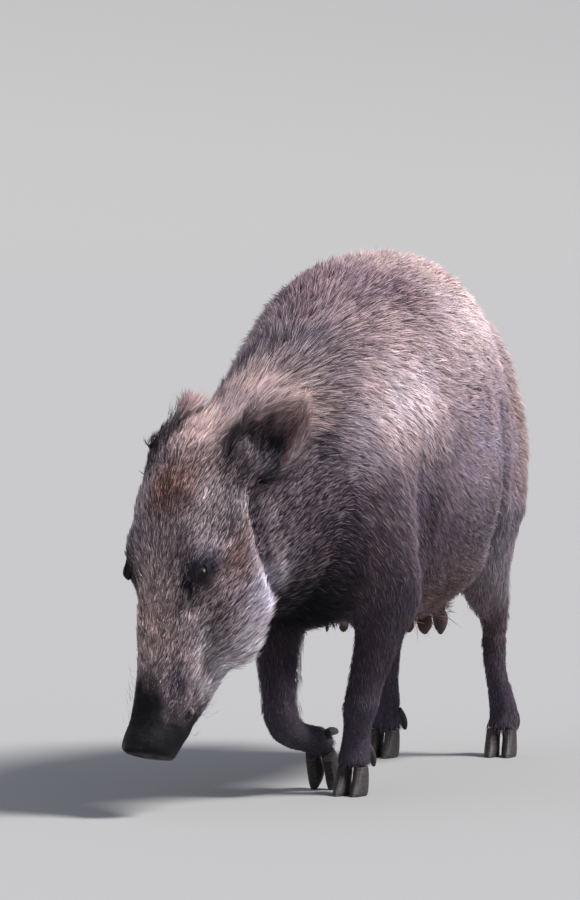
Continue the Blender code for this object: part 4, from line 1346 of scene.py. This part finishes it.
def eye_material():
    """A pupil, a streaked brown iris and a dark rim, by the angle from the gaze."""
    made, shader, tree = new_material("wet_eye", 0.40, 0.14)
    shader.inputs["Coat Weight"].default_value = 0.03
    shader.inputs["Coat Roughness"].default_value = 0.08
    gaze = add_node(tree, "Attribute", attribute_name="Gaze").outputs["Fac"]
    place = add_node(tree, "TexCoord").outputs["Object"]
    grain = add_node(tree, "TexNoise", {"Vector": place, "Scale": 600}).outputs["Fac"]
    sway = add_node(tree, "Math", {0: grain, 1: 0.16, 2: gaze}, operation="MULTIPLY_ADD").outputs["Value"]
    tree.links.new(shaded(tree, sway, EYE_SHADES), shader.inputs["Base Color"])
    return made


# --- Camera, light and floor ---
CAMERA_AZIMUTH = math.radians(17)
CAMERA_ELEVATION = math.radians(3.6)
CAMERA_DISTANCE = 10.0
LENS = 280
AIM = Vector((-0.126, 0.097))        # from the middle of the trunk: to the picture's right, and up
TRUNK_HEIGHT = 0.37


def direction(azimuth, elevation):
    """The way from the sow to a place at that azimuth and elevation."""
    flat = math.cos(elevation)
    return Vector((math.sin(azimuth) * flat, -math.cos(azimuth) * flat, math.sin(elevation)))


def add_camera():
    data = bpy.data.cameras.new("camera")
    camera = link("camera", data)
    back = direction(CAMERA_AZIMUTH, CAMERA_ELEVATION)
    target = Vector((BODY_ORIGIN[0], BODY_ORIGIN[1], TRUNK_HEIGHT))
    camera.location = target + back * CAMERA_DISTANCE
    rightward = Vector((0, 0, 1)).cross(back).normalized()
    aim = target + rightward * AIM.x + back.cross(rightward) * AIM.y
    camera.rotation_euler = (camera.location - aim).to_track_quat("Z", "Y").to_euler()
    data.lens = LENS
    data.clip_end = 200
    bpy.context.scene.camera = camera


def add_sun(name, azimuth, elevation, strength, angle, colour):
    data = bpy.data.lights.new(name, "SUN")
    data.energy = strength
    data.angle = math.radians(angle)
    data.color = colour
    lamp = link(name, data)
    way = direction(math.radians(azimuth), math.radians(elevation))
    lamp.rotation_euler = way.to_track_quat("Z", "Y").to_euler()


def add_light():
    """A soft sky, a broad key light high on her left and a weak fill from her right."""
    world = bpy.data.worlds.new("studio")
    world.use_nodes = True
    sky = world.node_tree.nodes["Background"]
    sky.inputs["Color"].default_value = (0.86, 0.90, 1.06, 1)
    sky.inputs["Strength"].default_value = 0.53
    bpy.context.scene.world = world
    add_sun("key", azimuth=98, elevation=52, strength=6.1, angle=18, colour=(1.0, 0.975, 0.97))
    add_sun("fill", azimuth=-30, elevation=30, strength=0.5, angle=60, colour=(0.90, 0.95, 1.0))
    bpy.context.scene.view_settings.view_transform = "Standard"


FLOOR_RADIUS = 30.0          # flat, before it sweeps up into the backdrop
FLOOR_BEND = 7.0
FLOOR_STEPS = 24
FLOOR_SIDES = 128
FLOOR_GREY = (0.27, 0.27, 0.265, 1)


def add_floor():
    """A plain pale floor whose edge sweeps up into a backdrop on every side."""
    mesh = bmesh.new()
    ring = []
    for step in range(FLOOR_STEPS + 1):
        bend = math.pi / 2 * step / FLOOR_STEPS
        radius = FLOOR_RADIUS + FLOOR_BEND * math.sin(bend)
        ring.append(mesh.verts.new((radius, 0, FLOOR_BEND * (1 - math.cos(bend)))))
    for first, second in zip(ring, ring[1:]):
        mesh.edges.new((first, second))
    profile = mesh.verts[:] + mesh.edges[:]
    bmesh.ops.spin(mesh, geom=profile, axis=(0, 0, 1), angle=2 * math.pi, steps=FLOOR_SIDES, use_merge=True)
    rim = [edge for edge in mesh.edges if edge.is_boundary and all(vert.co.z < 1e-6 for vert in edge.verts)]
    bmesh.ops.contextual_create(mesh, geom=rim)
    bmesh.ops.recalc_face_normals(mesh, faces=mesh.faces)
    data = bpy.data.meshes.new("floor")
    mesh.to_mesh(data)
    mesh.free()
    data.shade_smooth()
    floor = link("floor", data)
    made, shader, _ = new_material("floor_paint", 0.9)
    shader.inputs["Base Color"].default_value = FLOOR_GREY
    data.materials.append(made)


# --- The pieces ---
def add_skin_and_coat():
    skin = skin_piece()
    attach(skin, "root")
    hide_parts(*FLESH)
    skin.data.materials.clear()
    skin.data.materials.append(skin_material())
    hair = coat_material()
    for piece in grow_coat(skin):
        piece.data.materials.append(hair)
        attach(piece, "root")


def add_eyes():
    wet = eye_material()
    for node, side in (("eye_left", 1), ("eye_right", -1)):
        ball = eyeball(node, side)
        ball.data.materials.append(wet)
        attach(ball, "root")
        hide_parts(node)


def add_hooves_and_tusks():
    horn = textured("horn", 0.55, 0.28, HORN_SHADES, (120, 120, 900), 0.0004)
    ivory = textured("ivory", 0.4, 0.4, IVORY_SHADES, (300, 300, 300), 0.0002)
    for node in sorted(NODES):
        if not node.startswith(("hoof", "dewclaw", "tusk")):
            continue
        tusk = node.startswith("tusk")
        piece = horn_piece(node, TUSK if tusk else HOOF)
        piece.data.materials.clear()
        piece.data.materials.append(ivory if tusk else horn)
        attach(piece, "root")
        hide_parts(node)


def main():
    add_skin_and_coat()
    add_eyes()
    add_hooves_and_tusks()
    add_camera()
    add_light()
    add_floor()


main()
